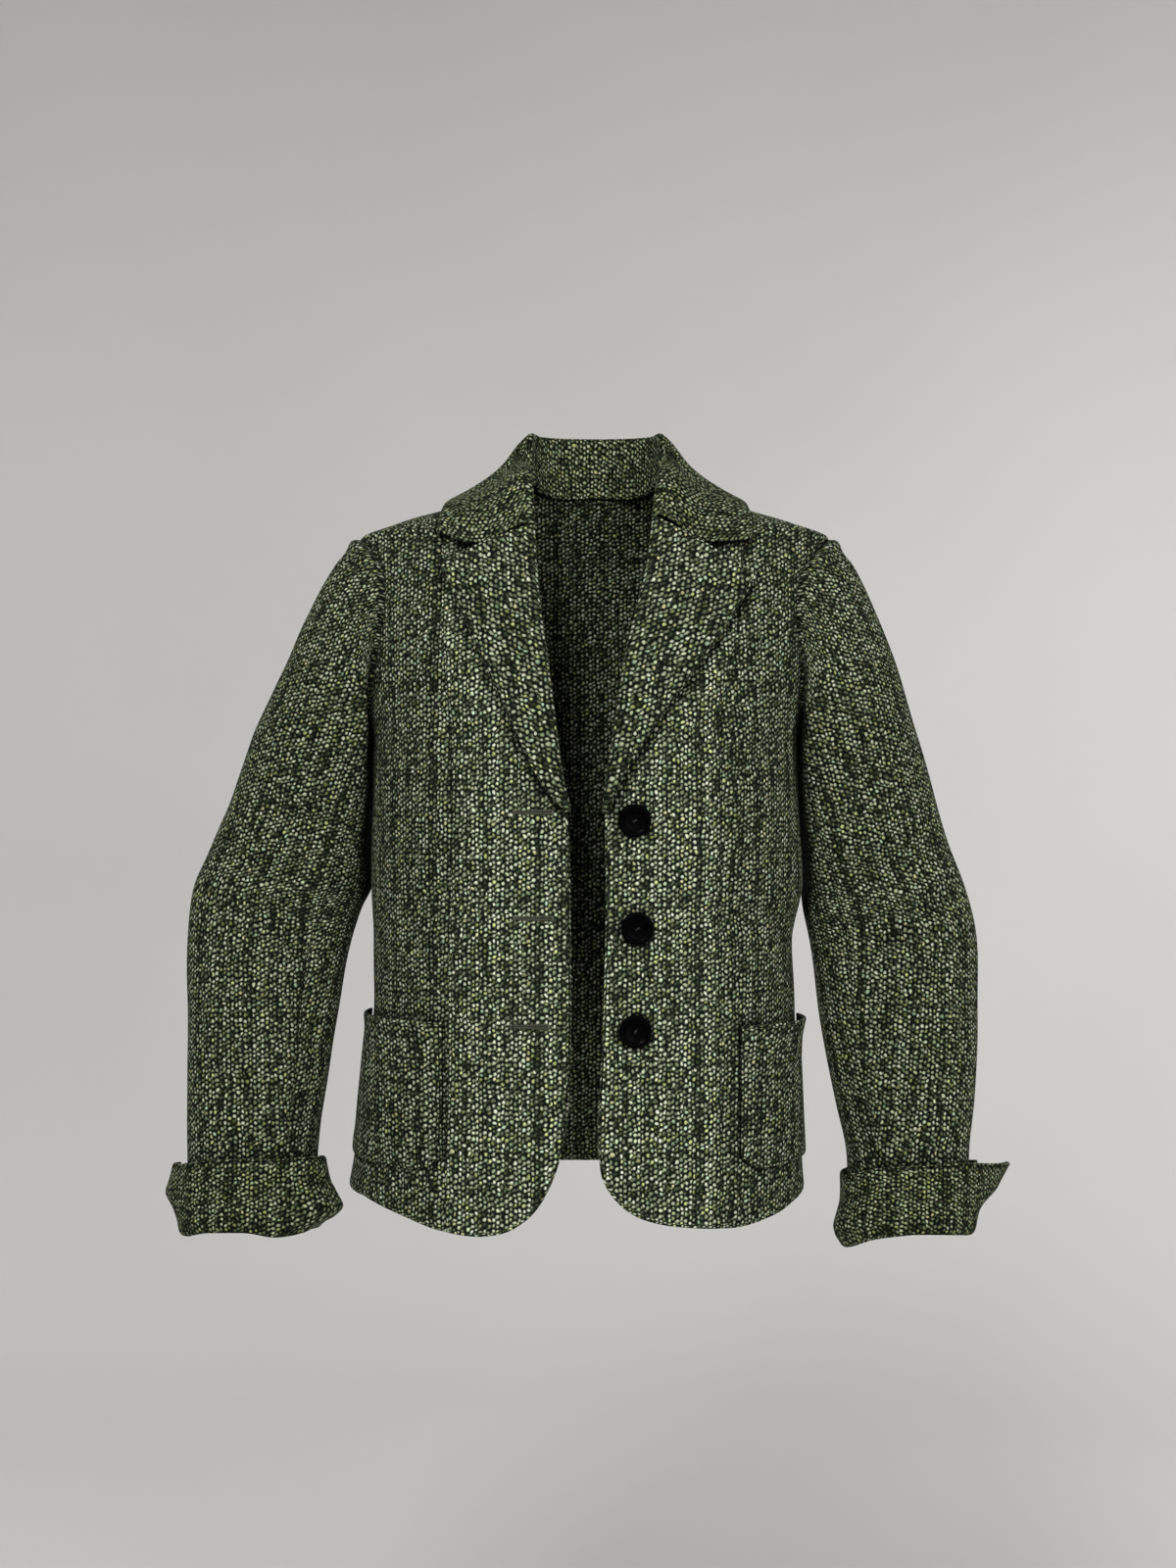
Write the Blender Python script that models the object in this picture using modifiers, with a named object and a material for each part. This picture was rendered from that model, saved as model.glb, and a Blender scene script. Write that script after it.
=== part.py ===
"""Tweed hacking jacket, worn open: a women's single-breasted jacket with notched lapels.

Frame: +X is the wearer's left, -Y is the front, +Z is up. The origin is the centre of the
neck opening, level with the points where the shoulder seams meet the neck. Metres.

Every cloth piece is a thin wall. The body pieces lie on one shaped surface, worked out from
the section table BODY, and are cut from it along seam lines, so neighbours match at the seams.
"""
import math
from collections import namedtuple

import bmesh
import bpy
import numpy as np
from mathutils import Matrix, Vector

# ---------------------------------------------------------------- driving sizes
CLOTH = 0.0024          # thickness of the tweed wall
SEAM = 0.0003           # gap between sewn pieces
SLEEVE_SEAM = 0.0014    # the same down the sleeves, where the wall turns more sharply
TIP_Z = -0.060          # shoulder tip, below the neck point
ARMPIT_Z = -0.225       # underarm, below the neck point
NECK_BACK_Z = -0.018    # centre back of the neckline
FRONT_ROUND = 2.3       # exponent of the body sections, front half
BACK_ROUND = 2.5        # exponent of the body sections, back half
ARM_FRONT = 0.060       # reach of the armhole in front of the shoulder seam
ARM_BACK = 0.062        # reach of the armhole behind it
CUFF_TURN = 0.061       # height of the turn-back cuff
BUTTON_D = 0.0254       # button diameter (40 line)
BUTTON_T = 0.0040       # button thickness
BACK_HEM_Z = -0.597     # hem at the centre back

# Columns and rows of the walls
N_NECK, N_FRONT, N_SIDE, N_ARM, N_LOW = 6, 6, 7, 7, 8
N_CAP_ROWS = 17

Section = namedtuple("Section", "z centre half front back")
BODY = [  # horizontal sections of the body, top to bottom
    Section(0.020, 0.0000, 0.0300, 0.018, 0.026),
    Section(0.000, 0.0000, 0.0550, 0.030, 0.037),
    Section(-0.018, 0.0000, 0.0840, 0.044, 0.050),
    Section(-0.034, -0.0005, 0.1195, 0.055, 0.062),
    Section(-0.048, -0.0005, 0.1640, 0.064, 0.072),
    Section(-0.060, -0.0010, 0.1945, 0.072, 0.081),
    Section(-0.075, -0.0020, 0.1940, 0.082, 0.090),
    Section(-0.090, -0.0030, 0.1900, 0.091, 0.097),
    Section(-0.110, -0.0045, 0.1880, 0.102, 0.105),
    Section(-0.140, -0.0060, 0.1870, 0.114, 0.112),
    Section(-0.170, -0.0075, 0.1850, 0.124, 0.115),
    Section(-0.200, -0.0080, 0.1800, 0.131, 0.115),
    Section(-0.225, -0.0083, 0.1745, 0.135, 0.112),
    Section(-0.260, -0.0085, 0.1740, 0.137, 0.107),
    Section(-0.300, -0.0080, 0.1755, 0.135, 0.100),
    Section(-0.340, -0.0070, 0.1770, 0.130, 0.092),
    Section(-0.390, -0.0105, 0.1718, 0.127, 0.088),
    Section(-0.440, -0.0094, 0.1724, 0.126, 0.092),
    Section(-0.490, -0.0115, 0.1765, 0.128, 0.103),
    Section(-0.540, -0.0130, 0.1810, 0.130, 0.113),
    Section(-0.600, -0.0163, 0.1874, 0.132, 0.121),
    Section(-0.640, -0.0175, 0.1900, 0.132, 0.124),
]

# Line down the front edge, from the neck point along the lapel's roll to the hem corner.
EdgeRow = namedtuple("EdgeRow", "z right left")
ROLL = [
    EdgeRow(0.000, -0.0550, 0.0550),
    EdgeRow(-0.030, -0.0515, 0.0485),
    EdgeRow(-0.060, -0.0497, 0.0447),
    EdgeRow(-0.090, -0.0475, 0.0405),
    EdgeRow(-0.120, -0.0448, 0.0335),
    EdgeRow(-0.165, -0.0385, 0.0225),
    EdgeRow(-0.205, -0.0332, 0.0165),
    EdgeRow(-0.250, -0.0275, 0.0097),
    EdgeRow(-0.285, -0.0215, 0.0062),
    EdgeRow(-0.340, -0.0200, 0.0072),
    EdgeRow(-0.425, -0.0193, 0.0055),
    EdgeRow(-0.500, -0.0202, 0.0020),
    EdgeRow(-0.531, -0.0230, -0.0005),
]
BREAK_Z = -0.283        # bottom of the lapel's roll

# Shoulder princess seam, from the shoulder to the hem.
PRINCESS = [
    EdgeRow(-0.035, -0.1225, 0.1205),
    EdgeRow(-0.120, -0.1220, 0.1140),
    EdgeRow(-0.200, -0.1150, 0.0995),
    EdgeRow(-0.290, -0.1120, 0.0965),
    EdgeRow(-0.410, -0.1160, 0.0975),
    EdgeRow(-0.620, -0.1175, 0.0975),
]

# Front hem from the start of the rounded corner to the side seam.
HemRow = namedtuple("HemRow", "x z")
HEM = {
    "right": [HemRow(-0.0204, -0.505), HemRow(-0.0250, -0.5366), HemRow(-0.0350, -0.5685),
              HemRow(-0.0523, -0.5938), HemRow(-0.0756, -0.6066), HemRow(-0.0930, -0.6088),
              HemRow(-0.1188, -0.6065), HemRow(-0.1500, -0.5985), HemRow(-0.1850, -0.5900)],
    "left": [HemRow(-0.0003, -0.524), HemRow(0.0035, -0.5600), HemRow(0.0168, -0.5824),
             HemRow(0.0371, -0.5954), HemRow(0.0620, -0.6015), HemRow(0.1090, -0.6060),
             HemRow(0.1406, -0.6015), HemRow(0.1600, -0.5950)],
}
SIDE_HEM_Z = -0.5895

# Lapel outer edge from the roll's foot to the corner; gorge line from the roll to the corner.
LAPEL = {
    "right": [HemRow(-0.0225, -0.2830), HemRow(-0.0405, -0.2640), HemRow(-0.0745, -0.1930),
              HemRow(-0.0977, -0.1432), HemRow(-0.1235, -0.0880)],
    "left": [HemRow(0.0072, -0.2810), HemRow(0.0237, -0.2482), HemRow(0.0426, -0.2195),
             HemRow(0.0690, -0.1817), HemRow(0.0999, -0.1394), HemRow(0.1253, -0.0975)],
}
GORGE = {"right": HemRow(-0.0497, -0.0569), "left": HemRow(0.0455, -0.0500)}
NOTCH = {"right": HemRow(-0.0939, -0.0746), "left": HemRow(0.0871, -0.0738)}
COLLAR_POINT = {"right": HemRow(-0.1262, -0.0625), "left": HemRow(0.1235, -0.0680)}

# Sleeve sections: outer point in the front view, width across, tilt of the section (degrees),
# depth centre, half depth, and pitch (degrees, front edge raised).
SleeveRow = namedtuple("SleeveRow", "x z width tilt y depth pitch")
SLEEVE = {
    "right": [SleeveRow(0.2625, -0.1751, 0.125, 21, 0.004, 0.062, -2),
              SleeveRow(0.2860, -0.2280, 0.126, 21, 0.008, 0.060, -2),
              SleeveRow(0.3066, -0.2807, 0.127, 17, 0.012, 0.057, 0),
              SleeveRow(0.3250, -0.3242, 0.139, 9, 0.013, 0.055, 2),
              SleeveRow(0.3350, -0.3500, 0.139, 5, 0.011, 0.053, 4),
              SleeveRow(0.3362, -0.4042, 0.128, 0, 0.000, 0.052, 8),
              SleeveRow(0.3345, -0.4835, 0.1153, 0, -0.016, 0.050, 10),
              SleeveRow(0.3323, -0.5411, 0.105, 0, -0.028, 0.048, 10),
              SleeveRow(0.3295, -0.6215, 0.1000, 0, -0.040, 0.047, 10)],
    "left": [SleeveRow(0.2561, -0.1898, 0.125, 19, 0.004, 0.062, -2),
             SleeveRow(0.2762, -0.2503, 0.127, 18, 0.009, 0.059, -1),
             SleeveRow(0.2946, -0.3102, 0.128, 14, 0.013, 0.056, 1),
             SleeveRow(0.3090, -0.3500, 0.135, 7, 0.013, 0.054, 3),
             SleeveRow(0.3154, -0.3896, 0.1355, 2, 0.005, 0.053, 6),
             SleeveRow(0.3128, -0.4540, 0.127, 0, -0.008, 0.051, 9),
             SleeveRow(0.3074, -0.5225, 0.1090, 0, -0.024, 0.049, 10),
             SleeveRow(0.3031, -0.5618, 0.0970, 0, -0.031, 0.047, 10),
             SleeveRow(0.2990, -0.6215, 0.0935, 0, -0.040, 0.046, 10)],
}
SLEEVE_ROUND = 2.2
HIND_SEAM, FORE_SEAM = 2, 5     # armhole columns where the two sleeve pieces meet

# Cuff: distance off the sleeve and height above the fold at the bottom.
CuffRow = namedtuple("CuffRow", "off up")
CUFF = [CuffRow(0.0000, -0.0034), CuffRow(0.0052, 0.0000), CuffRow(0.0062, 0.0120),
        CuffRow(0.0062, 0.0350), CuffRow(0.0060, CUFF_TURN)]
# Extra flare round the cuff: angle from the outer line towards the front (degrees).
FlareRow = namedtuple("FlareRow", "turn low mid high")
CUFF_FLARE = {
    "right": [FlareRow(0, 0.0000, 0.0075, 0.0020), FlareRow(25, 0.0000, 0.0030, 0.0010),
              FlareRow(60, 0.0000, 0.0, 0.0), FlareRow(140, 0.0020, 0.0010, 0.0),
              FlareRow(180, 0.0100, 0.0040, 0.0), FlareRow(220, 0.0050, 0.0020, 0.0),
              FlareRow(300, 0.0, 0.0, 0.0), FlareRow(352, 0.0, 0.0, 0.0)],
    "left": [FlareRow(0, 0.0000, 0.0080, 0.0240), FlareRow(25, 0.0000, 0.0030, 0.0080),
             FlareRow(60, 0.0, 0.0, 0.0), FlareRow(140, 0.0, 0.0, 0.0),
             FlareRow(180, 0.0010, 0.0, 0.0), FlareRow(220, 0.0, 0.0, 0.0),
             FlareRow(300, 0.0, 0.0, 0.0), FlareRow(352, 0.0, 0.0, 0.0)],
}
CUFF_SPLIT = 14         # degrees behind the outer line where the cuff is split
N_CUFF = 16

# Collar stations from the gorge round to the centre back, in body x, y, z.
# base = neck seam, fold = top of the roll, fall = middle of the fall, edge = its outer edge.
CollarRow = namedtuple("CollarRow", "turn base fold fall edge")
COLLAR_BACK = [
    CollarRow(0.42, (0.0540, 0.0000, 0.0035), (0.0530, 0.0040, 0.0305), (0.0775, 0.0040, 0.0025),
              (0.1170, 0.0020, -0.0272)),
    CollarRow(0.60, (0.0440, 0.0270, -0.0040), (0.0450, 0.0310, 0.0325), (0.0680, 0.0400, 0.0040),
              (0.0960, 0.0510, -0.0320)),
    CollarRow(0.80, (0.0240, 0.0420, -0.0120), (0.0250, 0.0480, 0.0340), (0.0390, 0.0640, 0.0060),
              (0.0520, 0.0680, -0.0360)),
    CollarRow(1.00, (0.0000, 0.0470, -0.0150), (0.0000, 0.0530, 0.0345), (0.0000, 0.0700, 0.0070),
              (0.0000, 0.0730, -0.0370)),
]
N_COLLAR, N_COLLAR_ACROSS = 12, 6

# Patch pockets, on the side fronts: x of the inner edge, distance of the outer edge from the
# side seam, top and bottom, and how far it stands off the cloth at the mouth and in the middle.
PocketRow = namedtuple("PocketRow", "inner side top bottom mouth belly")
POCKET = {
    "right": PocketRow(-0.1185, 0.010, -0.446, -0.561, 0.0085, 0.0075),
    "left": PocketRow(0.1105, 0.010, -0.450, -0.562, 0.0105, 0.0065),
}
POCKET_EDGE = 0.0044

ButtonRow = namedtuple("ButtonRow", "name x z")
BUTTONS = [ButtonRow("button_top", 0.0286, -0.2887), ButtonRow("button_middle", 0.0309, -0.3716),
           ButtonRow("button_bottom", 0.0294, -0.4509)]

Finish = namedtuple("Finish", "name colour roughness metallic")
TWEED = Finish("tweed", (0.055, 0.085, 0.052, 1.0), 0.92, 0.0)
BLACK = Finish("black_button", (0.006, 0.006, 0.007, 1.0), 0.22, 0.0)


# ---------------------------------------------------------------- curves and sections
def smooth(xs, ys, x):
    """Monotone cubic through (xs, ys), read at x."""
    xs, ys, x = np.asarray(xs, float), np.asarray(ys, float), np.asarray(x, float)
    if xs[0] > xs[-1]:
        xs, ys = xs[::-1], ys[::-1]
    h, d = np.diff(xs), np.diff(ys) / np.diff(xs)
    m = np.zeros_like(ys)
    m[0], m[-1] = d[0], d[-1]
    for i in range(1, len(xs) - 1):
        if d[i - 1] * d[i] > 0:
            w1, w2 = 2 * h[i] + h[i - 1], h[i] + 2 * h[i - 1]
            m[i] = (w1 + w2) / (w1 / d[i - 1] + w2 / d[i])
    x = np.clip(x, xs[0], xs[-1])
    k = np.clip(np.searchsorted(xs, x) - 1, 0, len(xs) - 2)
    t = (x - xs[k]) / h[k]
    return ((2 * t**3 - 3 * t**2 + 1) * ys[k] + (t**3 - 2 * t**2 + t) * h[k] * m[k]
            + (-2 * t**3 + 3 * t**2) * ys[k + 1] + (t**3 - t**2) * h[k] * m[k + 1])


def column(rows, name):
    return np.array([getattr(r, name) for r in rows])


def section(z, name):
    return smooth(column(BODY, "z"), column(BODY, name), z)


def lean(p):
    """How far points lie from the body surface, as a share of the section (0 on it)."""
    x, y, z = p[..., 0], p[..., 1], p[..., 2]
    n = np.where(y < 0, FRONT_ROUND, BACK_ROUND)
    depth = np.where(y < 0, section(z, "front"), section(z, "back"))
    a = np.abs(x - section(z, "centre")) / section(z, "half")
    b = np.abs(y) / depth
    return (a**n + b**n + 1e-12) ** (1.0 / n) - 1.0


def slope(p, step=2e-4):
    g = np.zeros_like(p)
    for k in range(3):
        d = np.zeros(3)
        d[k] = step
        g[..., k] = (lean(p + d) - lean(p - d)) / (2 * step)
    return g


def onto(p):
    """Points moved onto the body surface, and the surface's outward direction there."""
    p = np.array(p, float)
    for _ in range(12):
        g = slope(p)
        p = p - g * (lean(p) / np.maximum((g * g).sum(-1), 1e-9))[..., None]
    g = slope(p)
    return p, g / np.linalg.norm(g, axis=-1, keepdims=True)


def front_at(x, z, out=0.0):
    """Points on the front at (x, z), moved out."""
    x, z = np.broadcast_arrays(np.asarray(x, float), np.asarray(z, float))
    a = np.clip(np.abs(x - section(z, "centre")) / section(z, "half"), 0, 1)
    y = -section(z, "front") * (1 - a**FRONT_ROUND) ** (1 / FRONT_ROUND)
    p = np.stack([x, y, z], -1)
    g = slope(p)
    return p + g / np.linalg.norm(g, axis=-1, keepdims=True) * np.asarray(out, float)[..., None]


def resample(line, count, power=1.0):
    """count + 1 points along a line, evenly by length."""
    step = np.linalg.norm(np.diff(line, axis=0), axis=1)
    run = np.concatenate([[0], np.cumsum(step)]) / step.sum()
    want = np.linspace(0, 1, count + 1) ** power
    return np.stack([np.interp(want, run, line[:, k]) for k in range(3)], -1)


def sign(side):
    return -1.0 if side == "right" else 1.0


# ---------------------------------------------------------------- seam lines on the body
def shoulder_line(side, start, stop, count):
    """Along the shoulder seam between two distances from the neck's centre line."""
    z = np.linspace(0.0, TIP_Z, 200)
    half = section(z, "half")
    want = np.linspace(start, stop, count + 1)
    zz = np.interp(want, half, z)
    return np.stack([section(zz, "centre") + sign(side) * want, 0 * zz, zz], -1)


def armhole(side, face, turn):
    """Armhole from the shoulder tip (turn 0) to the underarm (turn 1), front or back."""
    turn = np.asarray(turn, float)
    middle, half = (TIP_Z + ARMPIT_Z) / 2, (TIP_Z - ARMPIT_Z) / 2
    z = middle + half * np.cos(math.pi * turn)
    reach = np.clip(np.sin(math.pi * turn), 0, 1) ** 0.9
    y = -ARM_FRONT * reach if face == "front" else ARM_BACK * reach
    depth = section(z, face)
    n = FRONT_ROUND if face == "front" else BACK_ROUND
    x = section(z, "half") * (1 - (np.abs(y) / depth) ** n) ** (1 / n)
    return np.stack([section(z, "centre") + sign(side) * x, y, z], -1)


def side_line(side, count=60):
    z = np.linspace(SIDE_HEM_Z, ARMPIT_Z, count)
    return np.stack([section(z, "centre") + sign(side) * section(z, "half"), 0 * z, z], -1)


def seam_x(rows, side, z):
    return smooth(column(rows, "z"), column(rows, side), z)


def edge_back(z):
    """How far the front's raw edge sits inside the roll, where the lapel turns over it."""
    return 0.0042 * np.clip((z - BREAK_Z) / 0.03, 0, 1) * np.clip(-z / 0.03 + 0.35, 0, 1)


def front_edge(side, count=80):
    z = np.linspace(HEM[side][0].z, 0.0, count)
    x = seam_x(ROLL, side, z) + sign(side) * edge_back(z)
    x[-1] = section(0.0, "centre") + sign(side) * section(0.0, "half")
    line = front_at(x, z)
    line[-1, 1] = 0.0
    return line


def princess_line(side, count=80):
    """Hem to shoulder; ends where the seam reaches the shoulder line."""
    zs = np.linspace(-0.10, 0.0, 400)
    gap = np.abs(seam_x(PRINCESS, side, zs) - section(zs, "centre")) - section(zs, "half")
    top = zs[np.argmax(gap > 0)]
    z = np.linspace(princess_hem(side), top, count)
    line = front_at(seam_x(PRINCESS, side, z), z)
    line[-1, 1] = 0.0
    return line


def hem_curve(side):
    x, z = column(HEM[side], "x"), column(HEM[side], "z")
    run = np.concatenate([[0], np.cumsum(np.hypot(np.diff(x), np.diff(z)))])
    t = np.linspace(0, run[-1], 160)
    return smooth(run, x, t), smooth(run, z, t)


def princess_hem(side):
    x, z = hem_curve(side)
    k = np.argmin(np.abs(x - PRINCESS[-1]._asdict()[side]))
    return float(z[k])


def hem_line(side, part):
    """Front hem: the centre front's share, or the side front's share to the side seam."""
    x, z = hem_curve(side)
    cut = PRINCESS[-1]._asdict()[side]
    inner = np.abs(x - HEM[side][0].x) <= abs(cut - HEM[side][0].x)
    if part == "centre":
        x, z = np.append(x[inner], cut), np.append(z[inner], princess_hem(side))
        return front_at(x, z)
    x, z = np.insert(x[~inner], 0, cut), np.insert(z[~inner], 0, princess_hem(side))
    line = front_at(x, z)
    end = side_line(side)[0]
    turn = np.linspace(0, 1, 30)[1:, None]
    last = line[-1]
    # round the side: the section's own curve at the hem's height
    zz = last[2] + (end[2] - last[2]) * turn[:, 0]
    ang0 = math.asin(min(1.0, abs(last[1]) / float(section(last[2], "front"))))
    yy = -section(zz, "front") * np.sin(ang0 * (1 - turn[:, 0]))
    ratio = np.clip(np.abs(yy) / section(zz, "front"), 0, 1)
    xx = section(zz, "centre") + sign(side) * section(zz, "half") * (1 - ratio**FRONT_ROUND) ** (1 / FRONT_ROUND)
    return np.vstack([line, np.stack([xx, yy, zz], -1)])


def back_hem():
    t = np.linspace(0, math.pi, 200)
    z = SIDE_HEM_Z + (BACK_HEM_Z - SIDE_HEM_Z) * np.sin(t) ** 2
    x = section(z, "centre") - section(z, "half") * np.sign(np.cos(t)) * np.abs(np.cos(t)) ** (2 / BACK_ROUND)
    y = section(z, "back") * np.sin(t) ** (2 / BACK_ROUND)
    return np.stack([x, y, z], -1)


def neck_line(count):
    """Back neckline from the wearer's right neck point to the left one."""
    t = np.linspace(0, math.pi, 120)
    z = NECK_BACK_Z * np.sin(t) ** 1.2
    y = section(z, "back") * np.sin(t) ** 0.9
    ratio = np.clip(y / section(z, "back"), 0, 1)
    x = -np.sign(np.cos(t)) * section(z, "half") * (1 - ratio**BACK_ROUND) ** (1 / BACK_ROUND)
    return resample(np.stack([x, y, z], -1), count)


# ---------------------------------------------------------------- panels
def coons(bottom, top, left, right):
    """A patch filled in from its four edges."""
    nu, nv = len(bottom), len(left)
    u, v = np.linspace(0, 1, nu)[None, :, None], np.linspace(0, 1, nv)[:, None, None]
    ruled = (1 - v) * bottom[None] + v * top[None] + (1 - u) * left[:, None] + u * right[:, None]
    corners = ((1 - u) * (1 - v) * bottom[0] + u * (1 - v) * bottom[-1]
               + (1 - u) * v * top[0] + u * v * top[-1])
    return ruled - corners


def unwrap(line, face):
    """Body points as (turn, z): turn 0 at the right side seam, half a turn at the left one."""
    x, y, z = line[:, 0], line[:, 1], line[:, 2]
    n = FRONT_ROUND if face == "front" else BACK_ROUND
    a = (section(z, "centre") - x) / section(z, "half")
    b = np.abs(y) / section(z, face)
    return np.stack([np.arctan2(b ** (n / 2), np.sign(a) * np.abs(a) ** (n / 2)), z], -1)


def wrap(turn, z, face):
    """The body point at a turn and height."""
    n = FRONT_ROUND if face == "front" else BACK_ROUND
    c, s = np.cos(turn), np.clip(np.sin(turn), 0, 1)
    x = section(z, "centre") - section(z, "half") * np.sign(c) * np.abs(c) ** (2 / n)
    y = section(z, face) * s ** (2 / n) * (-1 if face == "front" else 1)
    return np.stack([x, y, z], -1)


def flat_coons(bottom, top, left, right, face):
    """Upper body patch, filled in on the front view's (x, z) and set on the surface."""
    grid = coons(*(line[:, [0, 2]] for line in (bottom, top, left, right)))
    x, z = grid[..., 0], grid[..., 1]
    n = FRONT_ROUND if face == "front" else BACK_ROUND
    a = np.clip(np.abs(x - section(z, "centre")) / section(z, "half"), 0, 1)
    y = section(z, face) * (1 - a**n) ** (1 / n) * (-1 if face == "front" else 1)
    out = np.stack([x, y, z], -1)
    out[0], out[-1], out[:, 0], out[:, -1] = bottom, top, left, right
    return out


def round_coons(bottom, top, left, right, face):
    """Lower body patch, filled in on (turn, z) so that it goes evenly round the side."""
    flat = coons(*(unwrap(line, face) for line in (bottom, top, left, right)))
    out = wrap(flat[..., 0], flat[..., 1], face)
    out[0], out[-1], out[:, 0], out[:, -1] = bottom, top, left, right
    return out


def level(start, stop, face, count):
    """Along the body between two points of about the same height."""
    ends = unwrap(np.array([start, stop]), face)
    t = np.linspace(0, 1, 80)[:, None]
    line = ends[0] * (1 - t) + ends[1] * t
    return resample(wrap(line[:, 0], line[:, 1], face), count)


def with_normal(grid):
    normal = slope(grid)
    return grid, normal / np.linalg.norm(normal, axis=-1, keepdims=True)


def trim(grid, sides, amount=SEAM / 2):
    """Pulls the named edges of a grid in by half a seam gap, square to the edge."""
    out = grid.copy()
    for name in sides:
        edge, inside = {"left": (grid[:, 0], grid[:, 1]), "right": (grid[:, -1], grid[:, -2]),
                        "bottom": (grid[0], grid[1]), "top": (grid[-1], grid[-2])}[name]
        along = np.gradient(edge, axis=0)
        along /= np.linalg.norm(along, axis=1, keepdims=True) + 1e-12
        pull = inside - edge
        pull -= (pull * along).sum(1)[:, None] * along
        pull /= np.linalg.norm(pull, axis=1, keepdims=True) + 1e-12
        target = {"left": (slice(None), 0), "right": (slice(None), -1),
                  "bottom": (0, slice(None)), "top": (-1, slice(None))}[name]
        out[target] += pull * amount
    return out


def split_line(line):
    """A line from the hem to the top, in N_LOW parts below the underarm and N_ARM above."""
    k = int(np.argmin(np.abs(line[:, 2] - ARMPIT_Z)))
    return resample(line[:k + 1], N_LOW), resample(line[k:], N_ARM)


def shoulder_part(side, part):
    z = princess_line(side)[-1, 2]
    reach = abs(princess_line(side)[-1, 0] - section(z, "centre"))
    if part == "neck":
        return shoulder_line(side, float(section(0.0, "half")), float(reach), N_FRONT)
    return shoulder_line(side, float(reach), float(section(TIP_Z, "half")), N_SIDE)


def centre_front(side):
    low, high = split_line(princess_line(side, 400))
    edge_low, edge_high = split_line(front_edge(side, 400))
    across = level(edge_low[-1], low[-1], "front", N_FRONT)
    lower = flat_coons(resample(hem_line(side, "centre"), N_FRONT), across, edge_low, low, "front")
    upper = flat_coons(across, shoulder_part(side, "neck"), edge_high, high, "front")
    grid, normal = with_normal(np.vstack([lower, upper[1:]]))
    return trim(grid, ["right", "top"]), normal


def side_front(side):
    low, high = split_line(princess_line(side, 400))
    seam = resample(side_line(side), N_LOW)
    arm = armhole(side, "front", np.linspace(1, 0, N_ARM + 1))
    across = level(low[-1], seam[-1], "front", N_SIDE)
    lower = round_coons(resample(hem_line(side, "side"), N_SIDE), across, low, seam, "front")
    upper = flat_coons(across, shoulder_part(side, "tip"), high, arm, "front")
    grid, normal = with_normal(np.vstack([lower, upper[1:]]))
    return trim(grid, ["left", "right", "top"]), normal


def back():
    turns = np.linspace(1, 0, N_ARM + 1)
    right = np.vstack([shoulder_part("right", "tip")[::-1], shoulder_part("right", "neck")[::-1][1:]])
    left = np.vstack([shoulder_part("left", "neck"), shoulder_part("left", "tip")[1:]])
    top = np.vstack([right, neck_line(N_NECK)[1:-1], left])
    seam_r, seam_l = resample(side_line("right"), N_LOW), resample(side_line("left"), N_LOW)
    across = level(seam_r[-1], seam_l[-1], "back", len(top) - 1)
    lower = round_coons(resample(back_hem(), len(top) - 1), across, seam_r, seam_l, "back")
    upper = flat_coons(across, top, armhole("right", "back", turns), armhole("left", "back", turns), "back")
    grid, normal = with_normal(np.vstack([lower, upper[1:]]))
    return trim(grid, ["left", "right", "top"]), normal


# ---------------------------------------------------------------- sleeves
def ring(row, side, turn):
    """A sleeve section; turn 0 = outer line, 0.5 = towards the body, via the front."""
    tilt, pitch = math.radians(row.tilt), math.radians(row.pitch)
    across = np.array([-sign(side) * math.cos(tilt), 0.0, -math.sin(tilt)])
    outer = np.array([sign(side) * row.x, row.y, row.z])
    centre = outer + across * row.width / 2
    deep = np.array([0.0, -math.cos(pitch), math.sin(pitch)])
    a = 2 * math.pi * turn
    c, s = np.cos(a), np.sin(a)
    e = 2 / SLEEVE_ROUND
    return (centre - across * (np.sign(c) * np.abs(c) ** e)[:, None] * row.width / 2
            + deep * (np.sign(s) * np.abs(s) ** e)[:, None] * row.depth)


def clear_of_body(p, side, gap, share):
    """Sleeve points pushed sideways until they clear the body, all but the armhole's own."""
    x, y, z = p[..., 0], p[..., 1], p[..., 2]
    n = np.where(y < 0, FRONT_ROUND, BACK_ROUND)
    depth = np.where(y < 0, section(z, "front"), section(z, "back"))
    reach = section(z, "half") * (1 - np.clip(np.abs(y) / depth, 0, 1) ** n) ** (1 / n)
    limit = sign(side) * section(z, "centre") + reach + gap
    over = np.maximum(limit - sign(side) * x, 0) * share
    q = p.copy()
    q[..., 0] += sign(side) * over
    return q


def armhole_ring(side, turn):
    """The armhole read round the whole sleeve, moved out to where the sleeve's edge lies."""
    t = np.mod(turn, 1.0)
    front, rear = armhole(side, "front", np.clip(t * 2, 0, 1)), armhole(side, "back", np.clip(2 - t * 2, 0, 1))
    p = np.where((t <= 0.5)[:, None], front, rear)
    down = (TIP_Z - p[:, 2]) / (TIP_Z - ARMPIT_Z)
    move = smooth([0, 0.2, 0.6, 0.85, 1.0], [0.0014, 0.0027, 0.0034, 0.0046, 0.0064], down)
    p[:, 0] += sign(side) * move
    return p


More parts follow.
